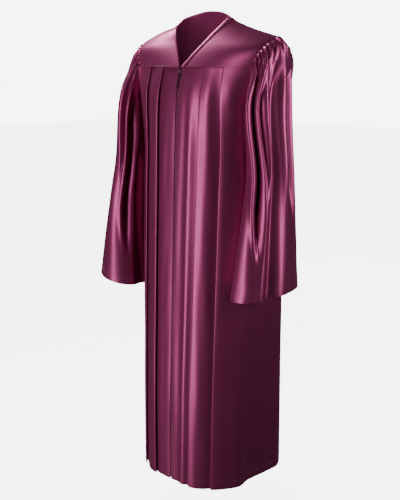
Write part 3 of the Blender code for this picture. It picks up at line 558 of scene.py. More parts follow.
class Shop:
    """The finishes, built once and shared, and the making of cloth walls."""

    def __init__(self) -> None:
        """Builds every finish."""
        self.satin = SatinFinish().material()
        self.thread = ThreadFinish().material()
        self.tape = TapeFinish().material()
        self.metal = LacquerFinish("zip_slider_lacquer").material()
        # Painted shade: the pull tab gets a darker copy of the slider's lacquer, standing in for the shade
        # that it hangs in.
        self.tab_shaded_metal = LacquerFinish("zip_tab_lacquer", (0.035, 0.006, 0.017)).material()
        self.teeth = LacquerFinish("zip_teeth_nylon", (0.080, 0.010, 0.036),
                                   (0.150, 0.030, 0.070), 0.0).material()

    def wall(self, name: str, middles: np.ndarray, reaches: np.ndarray, thickness: float,
             material: bpy.types.Material, ring: bool = False) -> bpy.types.Object:
        """Makes a closed thin wall of cloth.

        Args:
            name: The piece's name.
            middles: Grid of points in the middle of the cloth.
            reaches: The way out through the cloth at each point.
            thickness: The cloth's thickness.
            material: Its finish.
            ring: Whether the last column joins the first.

        Returns:
            The object, with a map in metres across and along its cloth.
        """
        rows, cols = middles.shape[:2]
        outer = (middles + reaches * thickness / 2).reshape(-1, 3)
        inner = (middles - reaches * thickness / 2).reshape(-1, 3)
        offset = rows * cols
        last = cols if ring else cols - 1
        row, col = np.meshgrid(np.arange(rows - 1), np.arange(last), indexing="ij")
        nxt = (col + 1) % cols
        quad = np.stack([row * cols + col, row * cols + nxt, (row + 1) * cols + nxt,
                         (row + 1) * cols + col], axis=-1).reshape(-1, 4)
        faces = [quad, offset + quad[:, ::-1]]
        edge = np.arange(last)
        edge_next = (edge + 1) % cols
        low = (rows - 1) * cols
        faces.append(np.stack([edge_next, edge, offset + edge, offset + edge_next], axis=-1))
        faces.append(np.stack([low + edge, low + edge_next, offset + low + edge_next,
                               offset + low + edge], axis=-1))
        if not ring:
            down = np.arange(rows - 1) * cols
            faces.append(np.stack([down, down + cols, offset + down + cols, offset + down],
                                  axis=-1))
            far = down + cols - 1
            faces.append(np.stack([far + cols, far, offset + far, offset + far + cols], axis=-1))
        faces = np.concatenate(faces)
        points = np.concatenate([outer, inner])
        triangle = points[faces[:, :3]]
        volume = np.sum(triangle[:, 0] * np.cross(triangle[:, 1], triangle[:, 2]))
        triangle = points[faces[:, [0, 2, 3]]]
        volume += np.sum(triangle[:, 0] * np.cross(triangle[:, 1], triangle[:, 2]))
        if volume < 0:
            faces = faces[:, ::-1]
        mesh = bpy.data.meshes.new(name)
        mesh.from_pydata(points, [], faces.tolist())
        across = np.zeros((rows, cols + 1))
        steps = np.linalg.norm(np.diff(middles, axis=1), axis=2)
        across[:, 1:cols] = np.cumsum(steps, axis=1)
        across[:, cols] = across[:, cols - 1] + np.linalg.norm(
            middles[:, 0] - middles[:, -1], axis=1)
        fall = np.zeros((rows, cols))
        fall[1:] = np.cumsum(np.linalg.norm(np.diff(middles, axis=0), axis=2), axis=0)
        layer = mesh.uv_layers.new(name="cloth")
        corner = faces.reshape(-1) % offset
        corner_col = corner % cols
        face_cols = corner_col.reshape(-1, 4)
        wraps = (face_cols.max(axis=1) - face_cols.min(axis=1) > cols // 2)
        wrapped = np.repeat(wraps, 4) & (corner_col == 0)
        u = across[corner // cols, np.where(wrapped, cols, corner_col)]
        v = fall[corner // cols, corner_col]
        layer.data.foreach_set("uv", np.stack([u, v], axis=-1).astype(np.float32).ravel())
        mesh.shade_smooth()
        mesh.set_sharp_from_angle(angle=math.radians(60))
        mesh.materials.append(material)
        made = bpy.data.objects.new(name, mesh)
        bpy.context.scene.collection.objects.link(made)
        return made

    def cloth(self, piece: bpy.types.Object, nodes: tuple[str, ...], flat: tuple[float, float],
              held: Held, area: float, slot: str = "satin") -> None:
        """Attaches a finished piece of cloth to the gown and hides the model's nodes that it replaces.

        Args:
            piece: The finished object.
            nodes: The model's nodes that it replaces.
            flat: Width and length that it was cut to; not used.
            held: How it is held; not used.
            area: Its flat area in square metres; not used.
            slot: The record's material slot; not used.
        """
        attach(piece, Body.GOWN.value)
        if nodes:
            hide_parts(*nodes)
        LOG.info("%s: %d faces", piece.name, len(piece.data.polygons))


def settled(stop: np.ndarray, hold: float) -> np.ndarray:
    """How far a panel has come down to its base, past its hidden ply."""
    return ease((stop - hold) / (0.95 - hold))


def pressed(height: float) -> float:
    """1 where the yoke seam presses the pleats flat, 0 where they are open."""
    return 1.0 - ease((SEAM_HEIGHT - height) / PRESS_LENGTH)


def side_angle(height: float, back: bool) -> float:
    """Where a panel ends at the side, in degrees from the centre front."""
    if height <= UNDERARM:
        return 90.0
    return float(column(ARMHOLE_ROWS, "back_angle" if back else "front_angle", height))


def mitred(points: np.ndarray, first: np.ndarray, last: np.ndarray) -> np.ndarray:
    """Ways out of a level line of points, longer at its corners, with both ends given."""
    steps = unit(np.diff(points, axis=0))
    sides = np.stack([steps[:, 1], -steps[:, 0], np.zeros(len(steps))], axis=1)
    total = sides[:-1] + sides[1:]
    dots = np.sum(sides[:-1] * sides[1:], axis=1, keepdims=True)
    return np.concatenate([[first], total / np.maximum(1.0 + dots, 0.6), [last]])


@dataclass
class PleatedPanels:
    """The long panels below the yoke, with their knife pleats."""

    shop: Shop
    thickness: float = 0.0009
    middle_ply: float = 0.50
    ply_margin: float = 0.003
    bow: float = 0.0016
    rows: int = 76
    steps_per_panel: int = 13
    turn_steps: int = 4
    hem_line: float = 0.022
    placket_line: float = 0.0095
    stitch_lift: float = 0.0006
    calm_width: float = 0.025
    seam_lap: float = 0.0002
    tuck_in: float = 0.0007
    tuck_up: float = 0.0009
    front_pleats: dict = field(default_factory=lambda: {
        Wearer.LEFT: (Pleat(0.080, 0.066, 0.014, 0.0085), Pleat(0.1345, 0.127, 0.014, 0.0075)),
        Wearer.RIGHT: (Pleat(0.066, 0.056, 0.014, 0.0085), Pleat(0.1240, 0.118, 0.014, 0.0075))})
    back_pleats: tuple = (Pleat(0.060, 0.064, 0.014, 0.0080), Pleat(0.125, 0.134, 0.014, 0.0080))
    front_ripples: tuple = (
        Ripple(0.030, 0.028, -0.20, -1.30, -0.0011, 0.012),
        Ripple(0.100, 0.092, -0.16, -1.10, -0.0012, 0.012), Ripple(0.118, 0.112, -0.30, -1.30, 0.0010, 0.012),
        Ripple(0.175, 0.165, -0.20, -1.30, -0.0022, 0.018), Ripple(0.225, 0.215, -0.42, -1.30, 0.0026, 0.020),
        Ripple(0.262, 0.258, -0.38, -1.30, -0.0024, 0.018))
    pleat_ridge: Ripple = Ripple(0.055, 0.047, -0.14, -1.30, 0.0052, 0.011)
    back_ripples: tuple = (
        Ripple(0.025, 0.030, -0.18, -1.30, -0.0016, 0.014), Ripple(0.092, 0.098, -0.16, -1.30, -0.0018, 0.014),
        Ripple(0.170, 0.180, -0.22, -1.30, -0.0026, 0.020), Ripple(0.215, 0.225, -0.40, -1.30, 0.0026, 0.020),
        Ripple(0.255, 0.268, -0.40, -1.30, -0.0024, 0.018))

    def heights(self) -> np.ndarray:
        """Heights of the rows, closer together near the yoke and the armhole."""
        share = np.linspace(0.0, 1.0, self.rows)
        even = SEAM_HEIGHT + (HEM - SEAM_HEIGHT) * share ** 1.35
        marks = (UNDERARM, UNDERARM + 0.006)
        for mark in marks:
            even[np.argmin(np.abs(even - mark))] = mark
        return even

    def soften(self, arc: np.ndarray, height: float, ripples: tuple, seed: int) -> np.ndarray:
        """Lift of the soft ripples and of the cloth's own unevenness at one height.

        Args:
            arc: Distances along the cloth from the centre.
            height: The height.
            ripples: The table of ripples.
            seed: Picks the uneven pattern.
        """
        lift = np.zeros_like(arc)
        for ripple in ripples:
            share = (height - ripple.start) / (ripple.finish - ripple.start)
            if not 0.0 < share <= 1.0:
                continue
            open_ = ease(share / 0.2)
            close = 1.0 if ripple.finish <= HEM + 0.001 else ease((1.0 - share) / 0.35)
            centre = ripple.top + (ripple.low - ripple.top) * share
            lift += ripple.lift * open_ * close * np.exp(
                -((arc - centre) / ripple.half_width) ** 2)
        grow = ease((SEAM_HEIGHT - height) / 0.06)
        lift += 0.00035 * grow * smooth_noise(arc / 0.035, np.full_like(arc, height / 0.30), seed)
        return lift

    def line(self, section: Section, start: float, creases: list, end: float) -> np.ndarray:
        """The cloth of one panel at one height, as rows of (distance, lift).

        Args:
            section: The body's outline there.
            start: Where the cloth starts.
            creases: Distance, hidden ply and step of each pleat.
            end: Where the cloth ends.
        """
        press = pressed(section.height)
        sunk = PRESSED_RISE * press
        stops = np.linspace(0.0, 1.0, self.steps_per_panel)
        arcs, lifts = [], []
        left, left_lift, hold = start, -sunk, 0.0
        for distance, underlay, full_rise in creases + [(end, None, None)]:
            wide = distance - left
            settle = settled(stops, hold / wide)
            base = 0.0 if underlay is None else -sunk
            bow = self.bow * 4 * stops * (1 - stops) * (1 - press)
            keep = slice(1 if arcs else 0, None if underlay is None else -1)
            arcs += (left + wide * stops)[keep].tolist()
            lifts += (left_lift + (base - left_lift) * settle + bow)[keep].tolist()
            if underlay is None:
                break
            rise = full_rise + (PRESSED_RISE - full_rise) * press
            heights = (-sunk, -sunk + rise * self.middle_ply, -sunk + rise)
            for edge, way, low, high in ((distance + underlay, 1, heights[0], heights[1]),
                                         (distance, -1, heights[1], heights[2])):
                radius = (high - low) / 2
                swing = np.linspace(-math.pi / 2, math.pi / 2, self.turn_steps + 1)
                arcs += (edge - way * radius + way * radius * np.cos(swing)).tolist()
                lifts += ((high + low) / 2 + radius * np.sin(swing)).tolist()
            left, left_lift, hold = distance + radius, heights[2], underlay + self.ply_margin
        return np.array([arcs, lifts])

    def pleat_arc(self, section: Section, pleat: Pleat, back: bool) -> float:
        """Distance along the cloth of a pleat's edge, from the centre front."""
        share = (SEAM_HEIGHT - section.height) / (SEAM_HEIGHT - HEM)
        return section.arc_at_x(pleat.at_yoke + (pleat.at_hem - pleat.at_yoke) * share, back)

    def front(self, side: Wearer) -> tuple[np.ndarray, np.ndarray]:
        """Grid and ways out of one front panel."""
        ripples = self.front_ripples + ((self.pleat_ridge,) if side is Wearer.LEFT else ())
        middles, reaches = [], []
        for height in self.heights():
            section = Section(height)
            start = section.arc_at_x(half_gap(height))
            end = section.arc_at_angle(side_angle(height, False)) + self.seam_lap
            creases = [(self.pleat_arc(section, pleat, False), pleat.underlay, pleat.rise)
                       for pleat in self.front_pleats[side]]
            arc, lift = self.line(section, start, creases, end)
            calm = np.clip((end - arc) / self.calm_width, 0.0, 1.0)
            lift = lift + section.flute(arc) + calm * self.soften(
                arc, height, ripples, 3 if side is Wearer.LEFT else 8)
            points = section.place(arc, lift)
            middles.append(points)
            reaches.append(mitred(points, section.normal(start), section.normal(end)))
        middles, reaches = self.tucked(np.array(middles), np.array(reaches))
        return mirrored(middles, side), mirrored(reaches, side)

    def tucked(self, middles: np.ndarray, reaches: np.ndarray) -> tuple[np.ndarray, np.ndarray]:
        """Tucks the top row in behind the yoke's edge, so the seam is closed."""
        middles[0] -= reaches[0] * self.tuck_in
        middles[0, :, 2] += self.tuck_up
        return middles, reaches

    def back(self) -> tuple[np.ndarray, np.ndarray]:
        """Grid and ways out of the back panel, from the left side to the right."""
        middles, reaches = [], []
        for height in self.heights():
            section = Section(height)
            total = section.arc[-1]
            end = total - section.arc_at_angle(side_angle(height, True)) + self.seam_lap
            creases = [(total - self.pleat_arc(section, pleat, True), pleat.underlay, pleat.rise)
                       for pleat in self.back_pleats]
            arc, lift = self.line(section, 0.0, creases, end)
            lift = lift + section.flute(total - arc)
            calm = np.clip((end - arc) / self.calm_width, 0.0, 1.0)
            halves = []
            for side, seed in ((Wearer.LEFT, 5), (Wearer.RIGHT, 6)):
                quiet = np.clip(arc / 0.03, 0.0, 1.0)
                uneven = self.soften(arc, height, self.back_ripples, seed)
                points = section.place(total - arc, lift + calm * quiet * uneven)
                ways = -mitred(points, -section.normal(total), -section.normal(total - end))
                halves.append((mirrored(points, side), mirrored(ways, side)))
            middles.append(np.concatenate([halves[0][0][::-1], halves[1][0][1:]]))
            reaches.append(np.concatenate([halves[0][1][::-1], halves[1][1][1:]]))
        return self.tucked(np.array(middles), np.array(reaches))

    def build(self) -> list[np.ndarray]:
        lines = []
        for side in Wearer:
            middles, reaches = self.front(side)
            piece = self.shop.wall("cloth_front_panel_" + side.word, middles, reaches,
                                   self.thickness, self.shop.satin)
            self.shop.cloth(piece, ("front_panel_" + side.word,), (0.38, 1.17), Held.HUNG, 0.42)
            outside = middles + reaches * self.stitch_lift
            lines.append(row_at_height(outside, HEM + self.hem_line))
            lines.append(column_at_distance(outside, self.placket_line)[1:])
            seam = outside[0]
            LOG.info("seam row of %s: %d points", piece.name, len(seam))
        middles, reaches = self.back()
        piece = self.shop.wall("cloth_back_panel", middles, reaches, self.thickness,
                               self.shop.satin)
        self.shop.cloth(piece, ("back_panel",), (0.76, 1.17), Held.HUNG, 0.833)
        lines.append(row_at_height(middles + reaches * self.stitch_lift, HEM + self.hem_line))
        return lines


def row_at_height(grid: np.ndarray, height: float) -> np.ndarray:
    """The line across a grid of level rows at one height."""
    heights = grid[:, 0, 2]
    below = int(np.argmax(heights < height))
    share = (heights[below - 1] - height) / (heights[below - 1] - heights[below])
    return grid[below - 1] * (1 - share) + grid[below] * share


def column_at_distance(grid: np.ndarray, distance: float) -> np.ndarray:
    """The line down a grid at a distance across from its first column."""
    spots = []
    for line in grid:
        along = np.concatenate([[0.0], np.cumsum(np.linalg.norm(np.diff(line, axis=0), axis=1))])
        spots.append([np.interp(distance, along, line[:, k]) for k in range(3)])
    return np.array(spots)


@dataclass
class Yoke:
    """One patch of the yoke: a front, or half of the back."""

    side: Wearer
    back: bool
    corner: float = 1.0
    neck_height: dict = field(default_factory=lambda: {Wearer.LEFT: -0.004,
                                                       Wearer.RIGHT: -0.020})
    tip_height: dict = field(default_factory=lambda: {Wearer.LEFT: -0.0535,
                                                      Wearer.RIGHT: -0.0545})
    neck_half_width: float = 0.0927
    tip_place: tuple = (0.2343, 0.0217)
    sag: dict = field(default_factory=lambda: {Wearer.LEFT: 0.0035, Wearer.RIGHT: -0.0030})
    front_neck: tuple = ((0.0730, -0.0250, -0.0328), (0.0485, -0.0490, -0.0670),
                         (0.0267, -0.0670, -0.0955))
    back_neck: dict = field(default_factory=lambda: {
        Wearer.LEFT: ((0.0880, 0.0200, -0.0080), (0.0630, 0.0380, 0.0020),
                      (0.0310, 0.0460, 0.0125)),
        Wearer.RIGHT: ((0.0870, 0.0200, -0.0020), (0.0620, 0.0390, 0.0100),
                       (0.0310, 0.0460, 0.0165))})
    neck_middle: tuple = (0.0, 0.0470, 0.0168)
    back_middle: tuple = (0.0, 0.1180, -0.0480)
    front_bend: tuple = (0.2160, -0.0300, -0.0900)
    back_bend: tuple = (0.2230, 0.0820, -0.0900)
    front_crown: float = 0.0050
    back_crown: float = 0.0030
    columns: int = 34

    def __post_init__(self) -> None:
        """Works out the four edges."""
        section = Section(SEAM_HEIGHT)
        self.section = section
        self.total = section.arc[-1]
        self.neck = np.array([self.neck_half_width, 0.0, self.neck_height[self.side]])
        self.tip = np.array([*self.tip_place, self.tip_height[self.side]])
        middle = (self.neck + self.tip) / 2 - np.array([0.0, 0.0, self.sag[self.side]])
        self.shoulder = [self.neck, middle, self.tip]
        self.end = section.arc_at_angle(side_angle(SEAM_HEIGHT, self.back))
        if self.back:
            self.corner = 0.42
            self.neck_line = [self.neck, *self.back_neck[self.side], self.neck_middle]
            self.low = [self.neck_middle, self.back_middle, section.place(self.total, 0.0)]
            self.armhole = [self.tip, self.back_bend, section.place(self.end, 0.0)]
        else:
            self.start = section.arc_at_x(half_gap(SEAM_HEIGHT))
            self.neck_line = [self.neck, *self.front_neck, section.place(self.start, 0.0)]
            self.armhole = [self.tip, self.front_bend, section.place(self.end, 0.0)]

    def bottom(self, across: np.ndarray) -> np.ndarray:
        """Points on the patch's last row: the yoke seam, or the centre back."""
        if self.back:
            return curve_through(self.low, across)
        return self.section.place(self.start + (self.end - self.start) * across, 0.0)

    def far(self, down: float) -> np.ndarray:
        """A point on the edge away from the neck."""
        if down <= self.corner:
            return curve_through(self.armhole, down / self.corner)
        share = (down - self.corner) / (1 - self.corner)
        return self.section.place(self.end + (self.total - self.end) * share, 0.0)

    def crown(self, across: np.ndarray, down: float) -> np.ndarray:
        """How far the patch bows out."""
        if self.back:
            push = self.back_crown * 4 * across * (1 - across) * math.sin(math.pi / 2 * down)
            return push[..., None] * np.array([0.0, 0.6, 0.8])
        push = self.front_crown * 4 * down * (1 - down) * np.sqrt(4 * across * (1 - across))
        return push[..., None] * np.array([0.0, -0.45, 0.89])

    def row(self, across: np.ndarray, down: float) -> np.ndarray:
        """Points across the patch at one distance down from the shoulder."""
        a = across[:, None]
        near, far = curve_through(self.neck_line, down), self.far(down)
        ends = (curve_through(self.shoulder, 0.0), curve_through(self.shoulder, 1.0),
                self.bottom(np.array(0.0)), self.bottom(np.array(1.0)))
        corners = ((1 - a) * (1 - down) * ends[0] + a * (1 - down) * ends[1]
                   + (1 - a) * down * ends[2] + a * down * ends[3])
        edges = ((1 - down) * curve_through(self.shoulder, across) + down * self.bottom(across)
                 + (1 - a) * near + a * far)
        return edges - corners + self.crown(across, down)

    def stops(self) -> np.ndarray:
        """Where the rows are, down from the shoulder."""
        if self.back:
            return np.concatenate([np.linspace(0.0, self.corner, 25),
                                   np.linspace(self.corner, 1.0, 31)[1:]])
        return np.linspace(0.0, 1.0, 41)

    def grid(self) -> tuple[np.ndarray, np.ndarray]:
        """Points and ways out, level at the yoke seam and upright at the shoulder."""
        edge = np.array([curve_through(self.neck_line, d) for d in np.linspace(0.0, 1.0, 240)])
        rows = []
        for down in self.stops():
            fine = np.linspace(0.0, 0.3, 240)
            spots = self.row(fine, down)
            away = np.min(np.linalg.norm(spots[:, None] - edge[None], axis=2), axis=1)
            away = np.maximum.accumulate(away)
            insets = np.interp(BAND_INSETS, away, fine)
            rest = np.linspace(insets[-1], 1.0, self.columns + 1)[1:]
            rows.append(self.row(np.concatenate([[0.0], insets, rest]), down))
        points = np.array(rows)
        ways = outwards(points, grid_normals(points))
        if self.back:
            for row, down in enumerate(self.stops()):
                if down >= self.corner:
                    arc = self.section.arc_at_x(points[row, -1, 0], back=True)
                    ways[row, -1] = self.section.normal(arc)
            ways[-1, :, 0] = 0.0
        else:
            ways[-1, :, 2] = 0.0
        ways[-1] = unit(ways[-1])
        ridge = unit(np.cross(np.cross(self.tip - self.neck, np.array([0.0, 0.0, 1.0])),
                              self.tip - self.neck))
        ways[0] = ridge if ridge[2] > 0 else -ridge
        return points, ways


class BandPoint(NamedTuple):
    """A point of the neck band's section: distance in from the edge, and lift."""

    inset: float
    lift: float


@dataclass
class YokeAndNeck:
    """Both front yokes, the back yoke and the stitched neck band."""

    shop: Shop
    thickness: float = 0.0009
    band_lift: float = 0.0014
    seam_stitch: float = 0.0032
    band_stitch: float = 0.0075

    def __post_init__(self) -> None:
        """Works out every grid."""
        self.fronts = {side: Yoke(side, False).grid() for side in Wearer}
        self.backs = {side: Yoke(side, True).grid() for side in Wearer}

    def section(self) -> tuple[BandPoint, ...]:
        """The band's section, from its stitched edge round to its hidden one."""
        lift = self.band_lift
        return (BandPoint(BAND_INSETS[2], lift), BandPoint(BAND_INSETS[1], lift + 0.0004),
                BandPoint(BAND_INSETS[0], lift + 0.0005), BandPoint(0.0, lift + 0.0002),
                BandPoint(-0.0013, 0.0011), BandPoint(-0.0018, 0.0), BandPoint(-0.0013, -0.0011),
                BandPoint(0.0, -lift), BandPoint(BAND_INSETS[0], -lift))

    def parted(self, points: np.ndarray, way: int) -> np.ndarray:
        """Moves the shoulder seam's row off the seam by half of the gap."""
        points = points.copy()
        points[0, :, 1] += way * SEAM_GAP / 2
        return points

    def build(self) -> list[np.ndarray]:
        lines = []
        for side in Wearer:
            points, ways = self.fronts[side]
            piece = self.shop.wall("cloth_yoke_front_" + side.word,
                                   mirrored(self.parted(points, -1), side),
                                   mirrored(ways, side), self.thickness, self.shop.satin)
            self.shop.cloth(piece, ("yoke_front_" + side.word,), (0.25, 0.14), Held.HUNG, 0.0238)
            away = row_inset(points + ways * 0.0006, self.seam_stitch)
            lines.append(mirrored(away[4:], side))
        back = {side: (mirrored(self.parted(points, 1), side), mirrored(ways, side))
                for side, (points, ways) in self.backs.items()}
        points = np.concatenate([back[Wearer.RIGHT][0], back[Wearer.LEFT][0][::-1][1:]])
        ways = np.concatenate([back[Wearer.RIGHT][1], back[Wearer.LEFT][1][::-1][1:]])
        piece = self.shop.wall("cloth_yoke_back", points, ways, self.thickness, self.shop.satin)
        self.shop.cloth(piece, ("yoke_back",), (0.52, 0.21), Held.HUNG, 0.0815)
        first = len(Yoke(Wearer.LEFT, True).stops())
        rows = range(24, 2 * first - 1 - 24)
        lines.append(np.array([far_inset(points[row] + ways[row] * 0.0006, self.seam_stitch)
                               for row in rows]))
        lines += self.build_band()
        return lines

    def build_band(self) -> list[np.ndarray]:
        halves, stitches = [], []
        section = self.section()
        flat = np.array([(place.inset, place.lift, 0.0) for place in section])
        turned = mitred(flat, np.array([0.0, 1.0, 0.0]), np.array([0.0, -1.0, 0.0]))
        for side in (Wearer.RIGHT, Wearer.LEFT):
            points = np.concatenate([self.fronts[side][0][::-1], self.backs[side][0][1:]])
            ways = np.concatenate([self.fronts[side][1][::-1], self.backs[side][1][1:]])
            middles, reaches, stitch = [], [], []
            for line, line_ways in zip(points, ways):
                inward = line[1] - line[0]
                inward = unit(inward - line_ways[0] * np.dot(inward, line_ways[0]))
                row, row_ways = [], []
                for place, turn in zip(section, turned):
                    col = 1 + BAND_INSETS.index(place.inset) if place.inset in BAND_INSETS else 0
                    shift = min(place.inset, 0.0)
                    row.append(line[col] + inward * shift + line_ways[col] * place.lift)
                    row_ways.append(inward * turn[0] + line_ways[col] * turn[1])
                middles.append(row)
                reaches.append(row_ways)
                share = (self.band_stitch - BAND_INSETS[1]) / (BAND_INSETS[2] - BAND_INSETS[1])
                spot = line[2] * (1 - share) + line[3] * share
                stitch.append(spot + line_ways[3] * (self.band_lift + 0.0007))
            middles, reaches = np.array(middles), np.array(reaches)
            reaches[0, :, 2] = 0.0
            middles[-1, :, 0], reaches[-1, :, 0] = 0.0, 0.0
            halves.append((mirrored(middles, side), mirrored(reaches, side)))
            stitches.append(mirrored(np.array(stitch), side))
        middles = np.concatenate([halves[0][0], halves[1][0][::-1][1:]])
        reaches = np.concatenate([halves[0][1], halves[1][1][::-1][1:]])
        piece = self.shop.wall("cloth_neck_band", middles, reaches, self.thickness,
                               self.shop.satin)
        self.shop.cloth(piece, ("neck_band",), (0.62, 0.0175), Held.HUNG, 0.0107)
        return [np.concatenate([stitches[0], stitches[1][::-1][1:]])]


def row_inset(grid: np.ndarray, distance: float) -> np.ndarray:
    """A line across a grid, a distance up from its last row."""
    step = np.mean(np.linalg.norm(grid[-1] - grid[-2], axis=1))
    share = distance / step
    index = int(share)
    part = share - index
    return grid[-1 - index] * (1 - part) + grid[-2 - index] * part


def far_inset(line: np.ndarray, distance: float) -> np.ndarray:
    """The point a distance back from a line's last point."""
    along = np.concatenate([[0.0], np.cumsum(np.linalg.norm(np.diff(line, axis=0), axis=1))])
    return np.array([np.interp(along[-1] - distance, along, line[:, k]) for k in range(3)])


@dataclass
class Sleeve:
    """One bell sleeve, gathered into its armhole and open at its cuff."""

    shop: Shop
    side: Wearer
    cuff: float
    cuff_drop: float
    levels: tuple[SleeveLevel, ...]
    folds: tuple[Fold, ...]
    front_grid: tuple
    back_grid: tuple
    seed: int
    flat: tuple[float, float]
    flat_area: float
    thickness: float = 0.0009
    columns: int = 312
    rows: int = 92
    head: float = 1.0 / 3.0
    gathers: int = 8
    gather_depth: float = 0.0042
    gather_share: float = 0.15
    cap_share: float = 0.10
    underarm_share: float = 0.16
    hang: tuple = (-12.0, 112.0, 205.0, 262.0, 348.0)
    lead: float = 0.0050
    room: float = 0.0048
    pleat_room: float = 0.0095
    hem_line: float = 0.018
    highest_turn: float = -20.0
    fold_bend: float = 1.5
    fold_room: float = 0.55
    room_share: float = 0.25

    def armhole_parts(self) -> list[tuple[np.ndarray, np.ndarray]]:
        """The seam line in four stretches, from the tip forwards and round."""
        back_points, back_ways = self.back_grid
        used = 25
        parts = [(self.front_grid[0][:, -1], self.front_grid[1][:, -1])]
        for back in (False, True):
            spots, ways = [], []
            for height in np.linspace(SEAM_HEIGHT, UNDERARM, 50):
                section = Section(height)
                arc = section.arc_at_angle(side_angle(height, back))
                spots.append(section.place(arc, 0.0))
                ways.append(section.normal(arc))
            spots, ways = np.array(spots), np.array(ways)
            parts.append((spots[::-1], ways[::-1]) if back else (spots, ways))
        parts.append((back_points[:used, -1][::-1], back_ways[:used, -1][::-1]))
        return parts

    def seam(self) -> tuple[np.ndarray, np.ndarray, np.ndarray]:
        """Seam point, way out and way into the armhole for each column."""
        parts = self.armhole_parts()
        centre = np.mean(np.concatenate([part[0] for part in parts]), axis=0)
        head = int(self.columns * self.head)
        side = self.columns // 2 - head
        counts = (head, side, side, head)
        spots, ways, holes = [], [], []
        for (points, outs), count in zip(parts, counts):
            along = np.concatenate([[0.0], np.cumsum(np.linalg.norm(np.diff(points, axis=0),
                                                                    axis=1))])
            where = np.arange(count) / count * along[-1]
            step = 0.02 * along[-1]

            def read(values: np.ndarray, at: np.ndarray) -> np.ndarray:
                return np.stack([np.interp(at, along, values[:, k]) for k in range(3)], axis=-1)

            spot, way = read(points, where), unit(read(outs, where))
            run = unit(read(points, where + step) - read(points, where - step))
            hole = unit(np.cross(run, way))
            flip = np.sum(hole * (centre - spot), axis=1) < 0
            hole[flip] *= -1
            spots.append(spot)
            ways.append(way)
            holes.append(hole)
        return (np.concatenate(spots), unit(self.softened(np.concatenate(ways), 9)),
                unit(self.softened(np.concatenate(holes), 9)))

    def softened(self, values: np.ndarray, times: int) -> np.ndarray:
        """Averages each entry of a closed list with its neighbours."""
        for _ in range(times):
            values = (np.roll(values, 1, axis=0) + 2 * values + np.roll(values, -1, axis=0)) / 4
        return values

    def turns(self) -> np.ndarray:
        """Where each column hangs, in degrees round the sleeve from its outer side."""
        head = int(self.columns * self.head)
        marks = (0, head, self.columns // 2, self.columns - head, self.columns)
        even = 360.0 * np.arange(self.columns) / self.columns
        lean = np.interp(np.arange(self.columns), marks, self.hang) - even
        return self.softened(lean, 100) + even

    def section_point(self, turn: np.ndarray, height: np.ndarray) -> np.ndarray:
        """Points of the sleeve's own outline."""
        cosine, sine = np.cos(np.radians(turn)), np.sin(np.radians(turn))
        x = column(self.levels, "out", height) + column(self.levels, "half_out", height) \
            * np.sign(cosine) * np.abs(cosine) ** FLATTEN
        y = column(self.levels, "y", height) - column(self.levels, "half_front", height) \
            * np.sign(sine) * np.abs(sine) ** FLATTEN
        return np.stack([x, y, height], axis=-1)

    def fold_lift(self, turn: np.ndarray, share: float) -> np.ndarray:
        """Lift of the folds, below zero in a trough, on one row."""
        lift = np.zeros_like(turn)
        room = self.fold_room + (1 - self.fold_room) * ease(share / self.room_share)
        for number, fold in enumerate(self.folds):
            if not fold.start < share <= fold.finish:
                continue
            wander = 0.9 * math.sin(7.0 * share + 1.7 * number)
            swing = (fold.cuff_angle - fold.top_angle) * share ** self.fold_bend
            centre = fold.top_angle + swing + wander
            away = (turn - centre + 180.0) % 360.0 - 180.0
            opening = room * ease((share - fold.start) / 0.12)
            closing = 1.0 if fold.finish >= 1.0 else ease((fold.finish - share) / 0.30)
            width = fold.half_angle * (0.50 + 0.50 * closing)
            trough = -np.exp(-np.abs(away / width) ** 1.7)
            crests = np.exp(-((np.abs(away) - 2.0 * width) / (0.95 * width)) ** 2)
            lift += fold.depth * opening * closing * (trough + fold.crest * crests)
        return lift

    def gather_lift(self, share: float) -> np.ndarray:
        """Lift of the small gathers round the sleeve's head, on one row."""
        half = self.columns // 2
        around = np.arange(self.columns, dtype=float)
        around[half:] -= self.columns
        head = self.columns * self.head
        inside = np.clip((head - np.abs(around)) / (0.12 * head), 0.0, 1.0)
        bend = around / head * self.gathers + 0.22 * np.sin(around / head * 9.0 + self.seed)
        wave = 1.0 - 2.0 * np.abs(np.cos(math.pi * bend)) ** 5
        uneven = 0.75 + 0.35 * np.sin(around / head * 17.0 + 2.0 * self.seed)
        reach = self.gather_share * (0.55 + 0.45 * np.sin(around / head * 23.0 + self.seed) ** 2)
        fade = ease(share / 0.010) * ease((reach - share) / reach)
        return self.gather_depth * wave * uneven * fade * inside

    def clear_of_body(self, points: np.ndarray) -> np.ndarray:
        """Moves points straight out until they have room beside the body."""
        height = points[..., 2]
        half_width = column(BODY_ROWS, "half_width", height)
        depth = np.where(points[..., 1] < BODY_CENTRE_Y, column(BODY_ROWS, "front", height),
                         column(BODY_ROWS, "back", height))
        across, along = points[..., 0], points[..., 1] - BODY_CENTRE_Y
        power = 2.0 / FLATTEN
        size = (np.abs(across) / half_width) ** power + (np.abs(along) / depth) ** power
        here = np.hypot(across, along)
        wall = here * size ** (-1.0 / power)
        wall = wall + self.room + self.pleat_room * ease(np.abs(along) / here / 0.8)
        grow = np.maximum(wall / here, 1.0)
        moved = points.copy()
        moved[..., 0] = across * grow
        moved[..., 1] = BODY_CENTRE_Y + along * grow
        return moved

